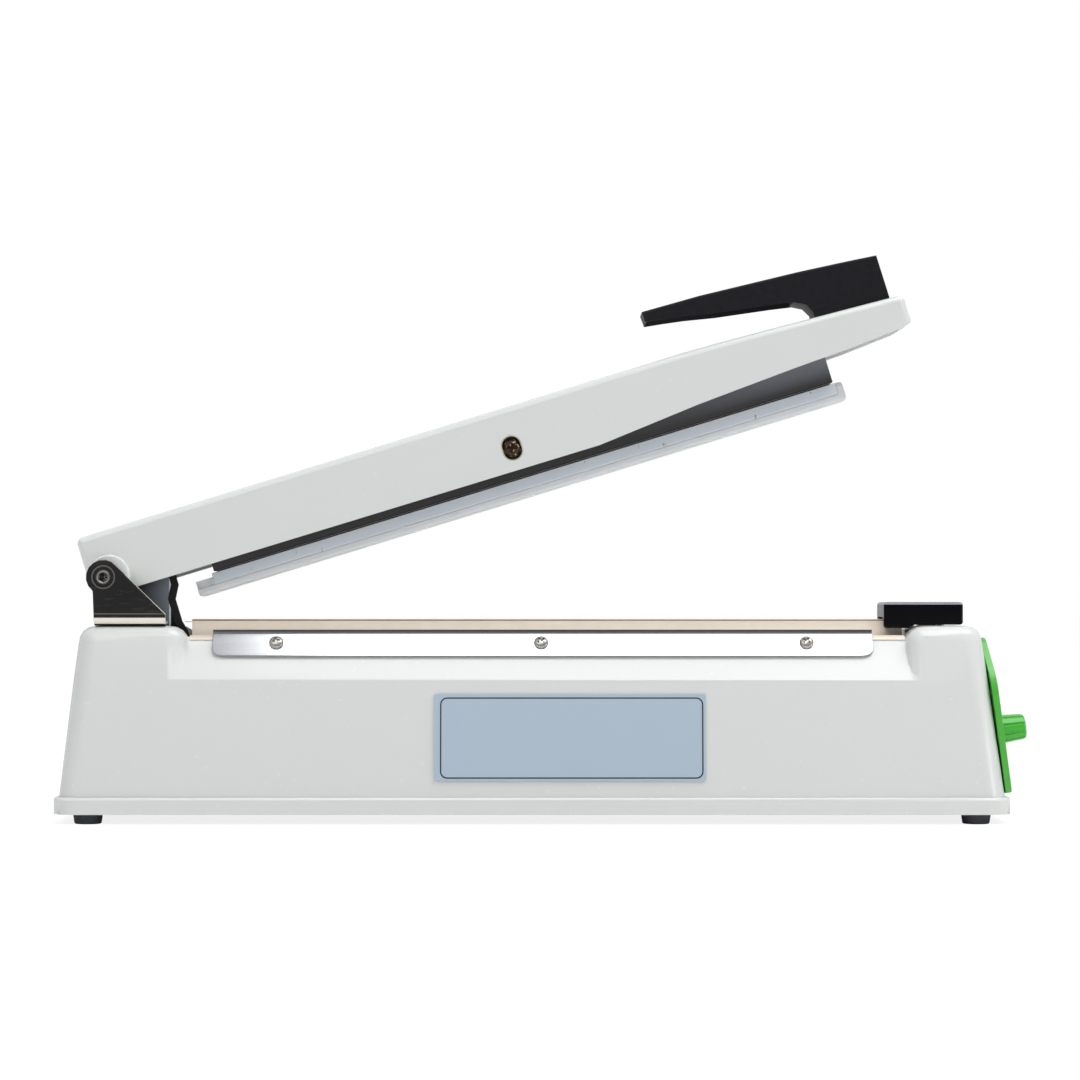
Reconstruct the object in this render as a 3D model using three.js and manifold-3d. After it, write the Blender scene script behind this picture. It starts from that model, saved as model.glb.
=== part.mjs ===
// Hand impulse sealer: a rigid base with a heated seal bed, and a spring-lifted arm with a pressure bar.
// Millimetres, +Z up, +X from the hinge towards the timer knob, -Y towards the user.
import * as THREE from 'three';
import { mergeVertices } from 'three/addons/utils/BufferGeometryUtils.js';
import Module from 'manifold-3d';

const wasm = await Module();
wasm.setup();

// Clearances that every piece shares.
const fitGap = 0.3; // between a piece and the pocket or hole that holds it
const seatGap = 0.1; // between two faces that rest on each other
const cutOver = 1; // how far every cut runs past the face that it opens
const weldTolerance = 0.0001; // points closer than this are one point
const roundSides = 28; // sides of a large cylinder
const smallSides = 16; // sides of a small cylinder
const cornerSteps = 4; // straight steps in a rounded corner

// Base housing.
const rimLength = 441.8;
const rimWidth = 84;
const rimThickness = 7.8;
const rimCorner = 12;
const rimRound = 1.4;
const footHeight = 4.5;
const rimLedge = 2.4; // how far the rim stands out past the ends of the body
const rimSideLedge = 2.5;
const bodyLength = rimLength - 2 * rimLedge;
const bodyWidth = rimWidth - 2 * rimSideLedge;
const bodyCorner = 10;
const leftDraft = THREE.MathUtils.degToRad(6.4);
const rightDraft = THREE.MathUtils.degToRad(7.6);
const humpHeight = 91;
const valleyDepth = 5;
const slopeDrop = 20;
const lowerDraft = 5; // how far each long side leans in, below the shoulder
const upperDraft = 3.5; // and above it
const valleyHeight = humpHeight - valleyDepth;
const shoulderHeight = valleyHeight - slopeDrop;
const shoulderWidth = bodyWidth - 2 * lowerDraft;
const humpWidth = shoulderWidth - 2 * upperDraft;
const humpRound = 7.5;
const noseLength = 8.5; // how far along X a hump's end rounds off towards the valley
const noseTip = 0.5; // what is left of the rounding at the wall
const noseSteps = 4;
const wall = 2.8;
const valleyFlat = 38;
const leftHumpLength = 58.5;
const rightHumpLength = 45;
const rimTop = footHeight + rimThickness;
const roundStart = humpHeight - humpRound;
const bodyLeft = -bodyLength / 2;
const bodyRight = bodyLength / 2;
const valleyLeft = bodyLeft + leftHumpLength;
const valleyRight = bodyRight - rightHumpLength;
const slopeAngle = Math.atan2(valleyHeight - shoulderHeight, (shoulderWidth - valleyFlat) / 2);

// Feet and the plate that closes the base.
const footInsetX = 16.3;
const footInsetY = 9;
const footTopRadius = 6.9;
const footBottomRadius = 6.25;
const footBore = 1.9;
const footSinkRadius = 3.7;
const footSinkDepth = 2.4;
const bottomThickness = 1.5;
const postRadius = 4.6;
const postTop = 30;
const footScrewRadius = 1.5;
const footScrewHead = 3.1;
const footScrewHeadHeight = 1.7;
const footScrewTop = 18;
const bottomTop = footHeight + bottomThickness;
const footX = rimLength / 2 - footInsetX;
const footY = rimWidth / 2 - footInsetY;

// Seal bed, pad, heating ribbon and tape.
const bedLeftGap = 2;
const bedRightGap = 1.5;
const bedLeft = valleyLeft + bedLeftGap;
const bedRight = valleyRight - bedRightGap;
const bedWidth = 16;
const bedHeight = 5.6;
const padWidth = 11;
const padHeight = 0.8;
const ribbonWidth = 3;
const ribbonThickness = 0.25;
const ribbonTail = 5.4; // beyond the bed, down to the left terminal
const ribbonLead = 15.6; // beyond the bed, under the terminal cover
const ribbonLeft = bedLeft - ribbonTail;
const ribbonRight = bedRight + ribbonLead;
const tapeThickness = 0.4;
const tapeWidth = 19;
const tapeCrown = 2.4; // above the bed
const tapeOverhang = 1.2;
const tapeRound = 0.9;
const tapeSkirt = 2.4;
const tapeLift = 0.2;
const bedBottom = valleyHeight + seatGap;
const bedTop = bedBottom + bedHeight;
const padBottom = bedTop + seatGap;
const ribbonBottom = padBottom + padHeight + seatGap;
const tapeTop = bedTop + tapeCrown;
const tapeLeft = bedLeft - tapeOverhang;
const tapeRight = bedRight + tapeOverhang;
const leftTerminalThickness = 1.4;
const leftTerminalWidth = 8;
const rightTerminalLength = 6;
const rightTerminalWidth = 10;

// Steel cover plates that clamp the tape on both slopes.
const plateInsetLeft = 9.7; // from the end of the bed
const plateInsetRight = 14;
const plateLeft = bedLeft + plateInsetLeft;
const plateRight = bedRight - plateInsetRight;
const plateThickness = 0.8;
const plateLift = 0.8; // room for the tape under the plate
const plateFace = 12.8; // along the slope
const plateTopRise = 0.6; // above the valley's edge, along the slope
const plateLip = 2.3;
const plateCorner = 5.5;
const plateScrewDrop = 4.9; // below the valley's edge, along the slope
const plateScrewShares = [0.097, 0.498, 0.9]; // of the plate's length
const plateLength = plateRight - plateLeft;
const screwRadius = 1.5;
const screwHeadRadius = 3.4;
const screwHeadHeight = 2.2;
const screwLength = 7;
const screwHole = screwRadius + fitGap;

// Terminal cover, the black block on the right hump.
const blockInset = 17.4; // from the end of the body
const blockLength = 37;
const blockWidth = 31;
const blockHeight = 10.6;
const blockLift = 0.5;
const blockRound = 1.6;
const blockDropLength = 11.7;
const blockDrop = 1.6;
const blockDropRun = 2.8; // along X, from the drop back up to the underside
const blockPocketTop = 3.3;
const blockPocketEnd = 13;
const blockTunnelWidth = tapeWidth + 4 * fitGap;
const blockScrewY = 11.6;
const blockScrewInset = 10;
const blockScrewDepth = 6;
const blockBottom = humpHeight + blockLift;
const blockRight = bodyRight - blockInset;
const blockLeft = blockRight - blockLength;

// Hinge: pivot, bracket and bolt.
const pivotInset = 20.1; // from the end of the body
const pivotRise = 22.6; // above the raised end
const pivotX = bodyLeft + pivotInset;
const pivotZ = humpHeight + pivotRise;
const openAngle = THREE.MathUtils.degToRad(17);
const bracketSetback = 3.5; // from the long sides of the raised end
const bracketWidth = humpWidth - 2 * bracketSetback;
const bracketSheet = 2;
const bracketBend = 4;
const earRadius = 8.1;
const earLeftTop = 4.9;
const earLeftBottom = 4.3;
const earRight = 28.7;
const earShoulderDrop = 17;
const earSlopeX = 4;
const earSlopeZ = 6.9;
const boltRadius = 2.6;
const boltHeadRadius = 3.6;
const boltHeadHeight = 1.5;
const boltDimpleRadius = 1.9;
const boltDimpleDepth = 0.7;
const nutRadius = 4.6;
const nutHeight = 3.2;
const boltHole = boltRadius + fitGap / 2;
const earInner = bracketWidth / 2 - bracketSheet;
const bracketScrewNear = 1.6; // from the pivot, along the base
const bracketScrewFar = 18.4;
const bracketScrewInset = 6.8; // from the outside of an ear
const bracketLeftScrewX = pivotX + bracketScrewNear;
const bracketLeftScrewY = 14;
const bracketRightScrewX = pivotX + bracketScrewFar;
const bracketRightScrewY = bracketWidth / 2 - bracketScrewInset;

// Lift lever, in the arm's frame: u along the arm, v up, origin on the pivot.
const armWidth = 40;
const armWall = 2.2;
const armInside = armWidth - 2 * armWall;
const leverSideGap = 1.3; // inside the arm's channel
const leverWidth = armInside - 2 * leverSideGap;
const leverSheet = 2;
const leverTop = 15;
const leverLeft = -5.5;
const leverRight = 27.8;
const leverNeck = 24.4; // where the web is drawn in, below the arm
const leverNeckTop = 18;
const leverNeckBottom = 29;
const leverToeBend = 34;
const leverFootDrop = 44;
const leverFootLength = 18.3;
const leverToe = 25.6;
const leverKneeU = 4;
const leverKneeV = -15.5;
const leverHipU = 14.5;
const leverHipV = -29.1;
const leverSlotGap = 1.3; // on each side of the lever
const leverSlotStart = 7.6; // from the pivot
const leverSlotEnd = 38;
const leverSlotDepth = 21;
const leverSlotLeft = pivotX + leverSlotStart;
const leverSlotRight = pivotX + leverSlotEnd;
const leverSlotWidth = leverWidth + 2 * leverSlotGap;
const leverSlotBottom = humpHeight - leverSlotDepth;

// Return spring, micro switch and their stand.
const springOffset = 24.4; // from the pivot, as are the stand's and the switch's
const springX = pivotX + springOffset;
const springRadius = 3.8;
const springWire = 1.3;
const springTurns = 7;
const springHeight = 33.3;
const springStepsPerTurn = 8;
const springSides = 5;
const standDrop = 51; // below the top of the raised end
const standSheet = 1.5;
const standOffset = 8.4;
const standLength = 26;
const standWidth = 32;
const standFlange = 8;
const switchWidth = 16;
const switchDepth = 8;
const switchHeight = 27.8;
const switchOffset = 10.4;
const switchFront = 6.4;
const plungerRadius = 1.4;
const plungerRise = 2.4;
const plungerDepth = 5;
const plungerTravel = 1.2;
const plungerGuide = plungerRadius + fitGap / 2;
const standTop = humpHeight - standDrop;
const springTop = standTop + seatGap + springHeight;
const standLeft = pivotX + standOffset;
const standRight = standLeft + standLength;
const switchLeft = pivotX + switchOffset;

// Arm housing, in the arm's frame.
const armLeft = -8.3;
const armEndInset = 23.4; // of the closed arm's tip, from the end of the body
const armRight = bodyRight - pivotX - armEndInset;
const armTop = 21.1;
const armBottom = -8.4;
const armRound = 3;
const armEndRound = 4;
const armTipRound = 2.4;
const bossRadius = 10.1;
const bossGap = fitGap;
const armLength = armRight - armLeft;
const armHeight = armTop - armBottom;
// Each pair is a share of the arm's length and a share of its height.
const armTopShares = [[0, 1], [0.6, 1.01], [0.735, 1.012], [0.78, 0.998], [0.85, 0.963], [1, 0.878]];
const armUndersideShares = [[0.613, 0], [0.737, 0.159], [0.862, 0.268], [0.922, 0.302], [0.984, 0.373]];
const armTipShare = 0.424; // height of the tip's lower corner
const centreU = -pivotX; // over the middle of the base
const centreV = 2.2;
const centreSlotHeight = 10.9;
const centreSlotWidth = 8.6;

// Pressure bar with its carrier and silicone strip, in the arm's frame.
const carrierInsetLeft = 8.2; // from the end of the bed
const carrierInsetRight = 19.9;
const carrierLeft = bedLeft - pivotX + carrierInsetLeft;
const carrierRight = bedRight - pivotX - carrierInsetRight;
const carrierBottom = -11.9;
const carrierSideGap = 2.8; // inside the arm's channel
const carrierWidth = armInside - 2 * carrierSideGap;
const carrierSheet = 1.5;
const carrierSide = 19;
const barReachLeft = 2.1; // past the carrier
const barReachRight = 1.8;
const barLeft = carrierLeft - barReachLeft;
const barRight = carrierRight + barReachRight;
const barBottom = -17.5;
const barWidth = 14;
const barGroove = 10.4;
const barWeb = 1.4;
const stripReachLeft = 8.5; // past the bar
const stripReachRight = 3.2;
const stripLeft = barLeft - stripReachLeft;
const stripRight = barRight + stripReachRight;
const stripBottom = -21.4;
const stripWidth = 12;
const stripRound = 2;
const stripLipDrop = 0.3;
const centreHeadRadius = 4.15;
const centreHeadProud = 0.4;
const centreShankRadius = 2.4;
const centreNutRadius = 3.9;
const centreNutHeight = 3;
const centreSocketRadius = 2;
const centreSocketDepth = 1.2;

// Handle, in the arm's frame.
const handleSetback = 6; // from the long sides of the arm
const handleWidth = armWidth - 2 * handleSetback;
const handleInset = 6; // from the arm's tip
const handleFootLength = 36;
const handleLength = 112.5;
const handleFootRight = armRight - handleInset;
const handleFootLeft = handleFootRight - handleFootLength;
const handleTopLeft = handleFootRight - handleLength;
const handleTopV = 45.9;
const handleTipDepth = 5.8;
const handleWall = 2.6;
const handleRound = 1.6;
// Each pair is a share of the grip's length from its tip, and a share of its height above the foot.
const handleTopShares = [[0, 1], [0.249, 0.973], [0.676, 0.868], [0.889, 0.801], [0.982, 0.772]];
const handleUnderShares = [[0.682, 0.25], [0.662, 0.345], [0.532, 0.442], [0.3, 0.584], [0.171, 0.687]];
const handleScrewInset = 9.5;
const handleScrewU = [handleFootLeft + handleScrewInset, handleFootRight - handleScrewInset];
const handleScrewDepth = 9;
const handleRibShares = [0.2, 0.42];

// Timer panel, knob and what is behind them, in the frame of the right end face.
const knobHeight = 41.3;
const panelThickness = 3;
const panelSideInset = 2.5;
const panelEndInset = 6; // below the top of the raised end
const panelCrownInset = 20;
const panelLift = 1.3; // above the rim
const panelHalfWidth = shoulderWidth / 2 - panelSideInset;
const panelBottom = rimTop + panelLift;
const panelShoulder = shoulderHeight;
const panelTop = humpHeight - panelEndInset;
const panelTopHalfWidth = humpWidth / 2 - panelCrownInset;
const panelCorner = 3.5;
const panelScrewY = 22;
const panelScrewRise = 18.7; // above the knob
const panelScrewHead = 2.6;
const panelScrewRim = 0.3; // straight edge of the countersunk head
const panelScrewCone = 1.6;
const knobRadius = 7;
const knobLength = 14;
const knobTaper = THREE.MathUtils.degToRad(4.5);
const knobFlutes = 10;
const knobFluteShare = 0.91; // radius at the bottom of a flute
const knobRidgeShare = 0.62; // of half a flute's pitch, to the edge of a ridge
const knobGrooveShare = 0.74; // and to the edge of a groove's floor
const knobLift = 0.5;
const knobRound = 1.6;
const panelScrewZ = knobHeight + panelScrewRise;
const shaftRadius = 3;
const shaftInsert = 10;
const bushRadius = 4.5;
const potRadius = 8;
const potDepth = 9;
const potWindow = 9.4;
const boardWidth = 44;
const boardHeight = 52;
const boardThickness = 1.6;
const lampRadius = 2.6;
const lampRise = 25.2; // above the knob
const lampHeight = knobHeight + lampRise;
const lampDepth = 6;

// Label plate on the front.
const labelMiddle = 17.5;
const labelLength = 124.6;
const labelRise = 7.5; // above the rim
const labelHeight = 39.8;
const labelLeft = labelMiddle - labelLength / 2;
const labelRight = labelMiddle + labelLength / 2;
const labelBottom = rimTop + labelRise;
const labelTop = labelBottom + labelHeight;
const labelThickness = 0.6;
const labelCorner = 1.2;

// Cord gland at the rear.
const glandInset = 98.5; // from the hinge end of the body
const glandX = bodyLeft + glandInset;
const glandZ = 34;
const glandRadius = 8.2;
const glandNeck = 5.8;
const glandInner = 7;
const glandCord = 3.3;
const glandProud = 3;
const glandInside = 6;

// Transformer.
const coreLength = 78;
const coreDepth = 38;
const coreHeight = 60;
const coreLimb = 12;
const coreX = 70;
const coilLength = 50;
const coilDepth = 56;
const coilCorner = 8;

// Materials, by the colour that the photograph shows.
const look = (color, roughness, metalness) => new THREE.MeshStandardMaterial({ color, roughness, metalness });
const whitePaint = look(0xe4e5e0, 0.35, 0);
const rubber = look(0x2c3038, 0.8, 0);
const steel = look(0xc9ccd0, 0.2, 1);
const darkSteel = look(0x2a2828, 0.3, 0.9);
const zinc = look(0xa9abae, 0.35, 1);
const aluminium = look(0xb7bcc6, 0.4, 1);
const silicone = look(0xc4c6c9, 0.6, 0);
const blackPlastic = look(0x17181a, 0.45, 0);
const greenPlastic = look(0x3fc43a, 0.4, 0);
const tan = look(0xe2d3ba, 0.6, 0);
const padWhite = look(0xd9d9d2, 0.8, 0);
const nichrome = look(0x6d6a66, 0.4, 0.9);
const brass = look(0xb89650, 0.35, 1);
const labelGrey = look(0xb4bbc4, 0.45, 0.2);
const lampRed = look(0xc22a1c, 0.25, 0);
const boardGreen = look(0x1f5a35, 0.6, 0);
const ironCore = look(0x5a5c60, 0.6, 0.7);
const copper = look(0xa65f33, 0.5, 0.6);

// Turns a closed geometry into a solid that can be cut and joined.
function toSolid(geometry) {
  const bare = geometry.index ? geometry.toNonIndexed() : geometry.clone();
  bare.deleteAttribute('normal');
  bare.deleteAttribute('uv');
  const merged = mergeVertices(bare, weldTolerance);
  return new wasm.Manifold(
    new wasm.Mesh({
      numProp: 3,
      vertProperties: new Float32Array(merged.attributes.position.array),
      triVerts: new Uint32Array(merged.index.array),
    }),
  );
}

function toGeometry(solid) {
  const { numProp, vertProperties, triVerts } = solid.getMesh();
  const geometry = new THREE.BufferGeometry();
  geometry.setAttribute('position', new THREE.BufferAttribute(vertProperties, numProp));
  geometry.setIndex(new THREE.BufferAttribute(triVerts, 1));
  const faceted = geometry.toNonIndexed();
  faceted.computeVertexNormals();
  return faceted;
}

function addPiece(group, name, material, solid) {
  const mesh = new THREE.Mesh(toGeometry(solid), material);
  mesh.name = name;
  group.add(mesh);
  return mesh;
}

function joinAll(solids) {
  return solids.reduce((whole, solid) => whole.add(solid));
}

function cutAll(solid, cutters) {
  return cutters.reduce((rest, cutter) => rest.subtract(cutter), solid);
}

function boxBetween([x0, x1], [y0, y1], [z0, z1]) {
  const box = new THREE.BoxGeometry(x1 - x0, y1 - y0, z1 - z0);
  return toSolid(box.translate((x0 + x1) / 2, (y0 + y1) / 2, (z0 + z1) / 2));
}

// The matrices stand a shape drawn in a plane on that plane, and run its depth along the third axis.
const xAxis = new THREE.Vector3(1, 0, 0);
const yAxis = new THREE.Vector3(0, 1, 0);
const zAxis = new THREE.Vector3(0, 0, 1);
const alongX = new THREE.Matrix4().makeBasis(yAxis, zAxis, xAxis);
const alongY = new THREE.Matrix4().makeBasis(xAxis, zAxis, yAxis.clone().negate());
const alongZ = new THREE.Matrix4();

function prism(shape, from, to, direction) {
  const geometry = new THREE.ExtrudeGeometry(shape, {
    depth: to - from,
    bevelEnabled: false,
    curveSegments: cornerSteps,
  });
  geometry.applyMatrix4(direction);
  const start = direction === alongY ? to : from;
  const axis = { x: direction === alongX, y: direction === alongY, z: direction === alongZ };
  return toSolid(geometry.translate(axis.x ? start : 0, axis.y ? start : 0, axis.z ? start : 0));
}

function rod(radius, from, to, direction, a = 0, b = 0, sides = smallSides) {
  const circle = new THREE.Shape();
  for (let side = 0; side < sides; side++) {
    const turn = (2 * Math.PI * side) / sides;
    const point = [a + radius * Math.cos(turn), b + radius * Math.sin(turn)];
    if (side === 0) circle.moveTo(...point);
    else circle.lineTo(...point);
  }
  return prism(circle, from, to, direction);
}

// A solid of revolution about Z from pairs of radius and height.
function turned(profile, sides = roundSides) {
  const points = profile.map(([r, z]) => new THREE.Vector2(r, z));
  return toSolid(new THREE.LatheGeometry(points, sides).rotateX(Math.PI / 2));
}

// An outline whose corners are rounded: each corner is [a, b, radius].
function roundedShape(corners) {
  const shape = new THREE.Shape();
  corners.forEach(([a, b, radius = 0], index) => {
    const here = new THREE.Vector2(a, b);
    const before = corners[(index + corners.length - 1) % corners.length];
    const after = corners[(index + 1) % corners.length];
    const towards = ([x, y]) => {
      const step = new THREE.Vector2(x, y).sub(here);
      return step.setLength(Math.min(radius, step.length() / 2)).add(here);
    };
    const start = radius ? towards(before) : here;
    const end = radius ? towards(after) : here;
    if (index === 0) shape.moveTo(start.x, start.y);
    else shape.lineTo(start.x, start.y);
    if (radius) shape.quadraticCurveTo(here.x, here.y, end.x, end.y);
  });
  return shape;
}

function roundedRectangle(a0, a1, b0, b1, radius) {
  return roundedShape([[a0, b0, radius], [a1, b0, radius], [a1, b1, radius], [a0, b1, radius]]);
}

const seenFromAbove = ([x, y]) => new THREE.Vector2(x, y);
const seenAlongX = ([, y, z]) => new THREE.Vector2(y, z);

// A closed skin through rings of equally many points, capped at both ends.
function loft(rings, flatten) {
  const count = rings[0].length;
  const lid = THREE.ShapeUtils.triangulateShape(rings[0].map(flatten), []);
  const endLid = THREE.ShapeUtils.triangulateShape(rings.at(-1).map(flatten), []);
  const last = (rings.length - 1) * count;
  const faces = lid.map(([a, b, c]) => [c, b, a]);
  faces.push(...endLid.map((face) => face.map((corner) => corner + last)));
  for (let ring = 0; ring + 1 < rings.length; ring++) {
    for (let i = 0; i < count; i++) {
      const a = ring * count + i;
      const b = ring * count + ((i + 1) % count);
      faces.push([a, b, b + count], [a, b + count, a + count]);
    }
  }
  const geometry = new THREE.BufferGeometry();
  geometry.setAttribute('position', new THREE.Float32BufferAttribute(rings.flat(2), 3));
  geometry.setIndex(faces.flat());
  return toSolid(geometry);
}

// Points of a rounded rectangle, anticlockwise seen from above.
function rectangleRing(left, right, half, corner, z) {
  const centres = [[right - corner, half - corner], [left + corner, half - corner],
    [left + corner, corner - half], [right - corner, corner - half]];
  return centres.flatMap(([x, y], quarter) => Array.from({ length: cornerSteps + 1 }, (_, step) => {
    const turn = (Math.PI / 2) * (quarter + step / cornerSteps);
    return [x + corner * Math.cos(turn), y + corner * Math.sin(turn), z];
  }));
}

function halfWidthAt(z) {
  const low = [rimTop, bodyWidth / 2];
  const middle = [shoulderHeight, shoulderWidth / 2];
  const high = [roundStart, humpWidth / 2];
  const [from, to] = z < shoulderHeight ? [low, middle] : [middle, high];
  return THREE.MathUtils.mapLinear(z, from[0], to[0], from[1], to[1]);
}

function endFaceAt(z) {
  return [bodyLeft + (z - rimTop) * Math.tan(leftDraft), bodyRight - (z - rimTop) * Math.tan(rightDraft)];
}

// Rings of the housing's body above the rim, drawn in by a distance.
function bodyRings(inset, lowest) {
  const ring = (z, shrink, level) => {
    const [left, right] = endFaceAt(level);
    const corner = bodyCorner - Math.min(shrink, bodyCorner / 2);
    return rectangleRing(left + shrink, right - shrink, halfWidthAt(level) - shrink, corner, z);
  };
  const rings = [ring(lowest, inset, lowest), ring(shoulderHeight, inset, shoulderHeight)];
  const round = humpRound - inset;
  for (let step = 0; step <= cornerSteps; step++) {
    const turn = (Math.PI / 2) * (step / cornerSteps);
    const shrink = inset + round * (1 - Math.cos(turn));
    rings.push(ring(roundStart + round * Math.sin(turn), shrink, roundStart));
  }
  return rings;
}

function rimRings() {
  const ring = (z, shrink) => rectangleRing(
    shrink - rimLength / 2, rimLength / 2 - shrink, rimWidth / 2 - shrink, rimCorner - shrink, z);
  const middle = rimRound * Math.SQRT1_2;
  return [
    ring(footHeight, 0),
    ring(rimTop - rimRound, 0),
    ring(rimTop - rimRound + middle, rimRound - middle),
    ring(rimTop, rimRound),
  ];
}

// Section of the space above the seal bed and its slopes.
function valleySection(inset) {
  const flat = valleyFlat / 2 - inset * Math.tan(slopeAngle / 2);
  const flatZ = valleyHeight - inset;
  const shoulder = shoulderWidth / 2 - inset;
  const shoulderZ = flatZ - (shoulder - flat) * Math.tan(slopeAngle);
  const outside = rimWidth / 2 + cutOver;
  const top = humpHeight + humpRound;
  return roundedShape([
    [-outside, shoulderZ], [-shoulder, shoulderZ], [-flat, flatZ],
    [flat, flatZ], [shoulder, shoulderZ], [outside, shoulderZ], [outside, top], [-outside, top]]);
}

// The end of a hump beside the valley: sections of the hump that draw in towards the valley's wall.
function humpNose(wallX, side, inset) {
  const reach = noseLength - inset;
  const round = humpRound - inset;
  const low = shoulderHeight - humpRound;
  const section = (x, shrink) => {
    const arc = Array.from({ length: cornerSteps + 1 }, (_, step) => {
      const turn = (Math.PI / 2) * (step / cornerSteps);
      const radius = round - shrink;
      return [humpWidth / 2 - humpRound + radius * Math.cos(turn), roundStart + radius * Math.sin(turn)];
    });
    const flank = [low, shoulderHeight].map((z) => [halfWidthAt(z) - inset - shrink, z]);
    const half = [...flank, ...arc];
    const mirrored = half.map(([y, z]) => [x, -y, z]).reverse();
    return [...half.map(([y, z]) => [x, y, z]), ...mirrored];
  };
  const rings = Array.from({ length: noseSteps }, (_, step) => {
    const turn = (Math.PI / 2) * ((step + 1) / noseSteps);
    const x = wallX + side * (inset + reach * (1 - Math.sin(turn)));
    return section(x, (round - noseTip) * (1 - Math.cos(turn)));
  });
  rings.unshift(section(wallX + side * (noseLength + cutOver), -seatGap));
  return loft(side < 0 ? rings : rings.reverse(), seenAlongX);
}

function valleyCutter(inset) {
  const reach = noseLength + cutOver / 2;
  const space = prism(valleySection(inset), valleyLeft - reach, valleyRight + reach, alongX);
  return cutAll(space, [humpNose(valleyLeft, -1, inset), humpNose(valleyRight, 1, inset)]);
}


function bothSides(makeOne) {
  return [makeOne(-1), makeOne(1)];
}

function atCorners(makeOne) {
  return [[-1, -1], [1, -1], [1, 1], [-1, 1]].map(([sideX, sideY], index) => makeOne(sideX, sideY, index));
}

// A frame on one of the two slopes: its Z points out of the slope, its Y up the slope.
function slopeFrame(side) {
  const frame = new THREE.Group();
  frame.position.set(0, (side * valleyFlat) / 2, valleyHeight);
  frame.rotation.set(slopeAngle, 0, side > 0 ? Math.PI : 0, 'ZYX');
  return frame;
}

function inFrame(frame, solid) {
  frame.updateMatrix();
  return toSolid(toGeometry(solid).applyMatrix4(frame.matrix));
}

function plateScrewX(share, side) {
  return -side * (plateLeft + plateLength * share);
}

const endFrame = new THREE.Group();
endFrame.position.set(endFaceAt(knobHeight)[1], 0, knobHeight);
endFrame.rotation.y = -rightDraft;

function alongEnd(z) {
  return (z - knobHeight) / Math.cos(rightDraft);
}

const sideTilt = Math.atan2((bodyWidth - shoulderWidth) / 2, shoulderHeight - rimTop);

function sideFrame(x, z, side) {
  const frame = new THREE.Group();
  frame.position.set(x, side * halfWidthAt(z), z);
  frame.rotation.x = side * sideTilt;
  return frame;
}

function baseHousing() {
  const outside = loft([...rimRings(), ...bodyRings(0, rimTop)], seenFromAbove).subtract(valleyCutter(0));
  const inside = loft(bodyRings(wall, footHeight - cutOver), seenFromAbove).subtract(valleyCutter(wall));
  const posts = atCorners((sideX, sideY) => rod(
    postRadius, bottomTop + seatGap, postTop, alongZ, sideX * footX, sideY * footY));
  const rims = loft(bodyRings(wall / 2, bottomTop), seenFromAbove);
  const shell = outside.subtract(inside).add(joinAll(posts).intersect(rims));
  return cutAll(shell, [...housingHoles(), leverSlot()]);
}

function leverSlot() {
  return boxBetween(
    [leverSlotLeft, leverSlotRight],
    [-leverSlotWidth / 2, leverSlotWidth / 2],
    [leverSlotBottom, humpHeight + cutOver],
  );
}

function housingHoles() {
  const postHoles = atCorners((sideX, sideY) => rod(
    footScrewRadius + fitGap, bottomTop, footScrewTop + cutOver, alongZ, sideX * footX, sideY * footY));
  const slopeHoles = bothSides((side) => plateScrewShares.map((share) => inFrame(
    slopeFrame(side),
    rod(screwHole, -wall - cutOver, cutOver, alongZ, plateScrewX(share, side), -plateScrewDrop))));
  const bracketHoles = bracketScrewPlaces().map(([x, y]) => rod(
    screwHole, humpHeight - wall - cutOver, humpHeight + cutOver, alongZ, x, y));
  const blockHoles = blockScrewPlaces().map(([x, y]) => rod(
    screwHole, humpHeight - wall - cutOver, humpHeight + cutOver, alongZ, x, y));
  const window = inFrame(endFrame, rod(potWindow, -wall - 2 * cutOver, cutOver, alongX, 0, 0, roundSides));
  const lampHole = inFrame(endFrame, rod(
    lampRadius + fitGap, -wall - 2 * cutOver, cutOver, alongX, 0, alongEnd(lampHeight)));
  const panelHoles = panelScrewPlaces().map(([y, z]) => inFrame(endFrame, rod(
    screwHole, -wall - 2 * cutOver, cutOver, alongX, y, z)));
  const glandHole = inFrame(sideFrame(glandX, glandZ, 1), rod(
    glandNeck + fitGap, -wall - 2 * cutOver, cutOver, alongY, 0, 0, roundSides));
  const screwHoles = [...postHoles, ...slopeHoles.flat(), ...bracketHoles, ...blockHoles, ...panelHoles];
  return [...screwHoles, window, lampHole, glandHole];
}

function bottomPlate() {
  const gap = wall + fitGap;
  const [left, right] = endFaceAt(footHeight);
  const plate = prism(
    roundedRectangle(left + gap, right - gap, gap - bodyWidth / 2, bodyWidth / 2 - gap, bodyCorner - gap / 2),
    footHeight, bottomTop, alongZ);
  const holes = atCorners((sideX, sideY) => rod(
    footScrewRadius + fitGap, footHeight - cutOver, bottomTop + cutOver, alongZ,
    sideX * footX, sideY * footY));
  return cutAll(plate, holes);
}

function foot() {
  const top = footHeight - seatGap;
  return turned([
    [footSinkRadius, 0],
    [footBottomRadius, 0],
    [footTopRadius, top],
    [footBore, top],
    [footBore, footSinkDepth],
    [footSinkRadius, footSinkDepth],
    [footSinkRadius, 0],
  ], smallSides);
}

function footScrew() {
  const headTop = footSinkDepth - seatGap;
  return turned([
    [0, headTop - footScrewHeadHeight],
    [footScrewHead, headTop - footScrewHeadHeight / 2],
    [footScrewHead, headTop],
    [footScrewRadius, headTop],
    [footScrewRadius, footScrewTop],
    [0, footScrewTop],
  ], smallSides);
}

// A pan-head screw that points down, with its head resting on the plane z = 0.
function panScrew(head, length) {
  return turned([
    [0, -length],
    [screwRadius, -length],
    [screwRadius, seatGap],
    [head, seatGap],
    [head, screwHeadHeight / 2],
    [head / 2, screwHeadHeight],
    [0, screwHeadHeight],
  ], smallSides);
}

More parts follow.
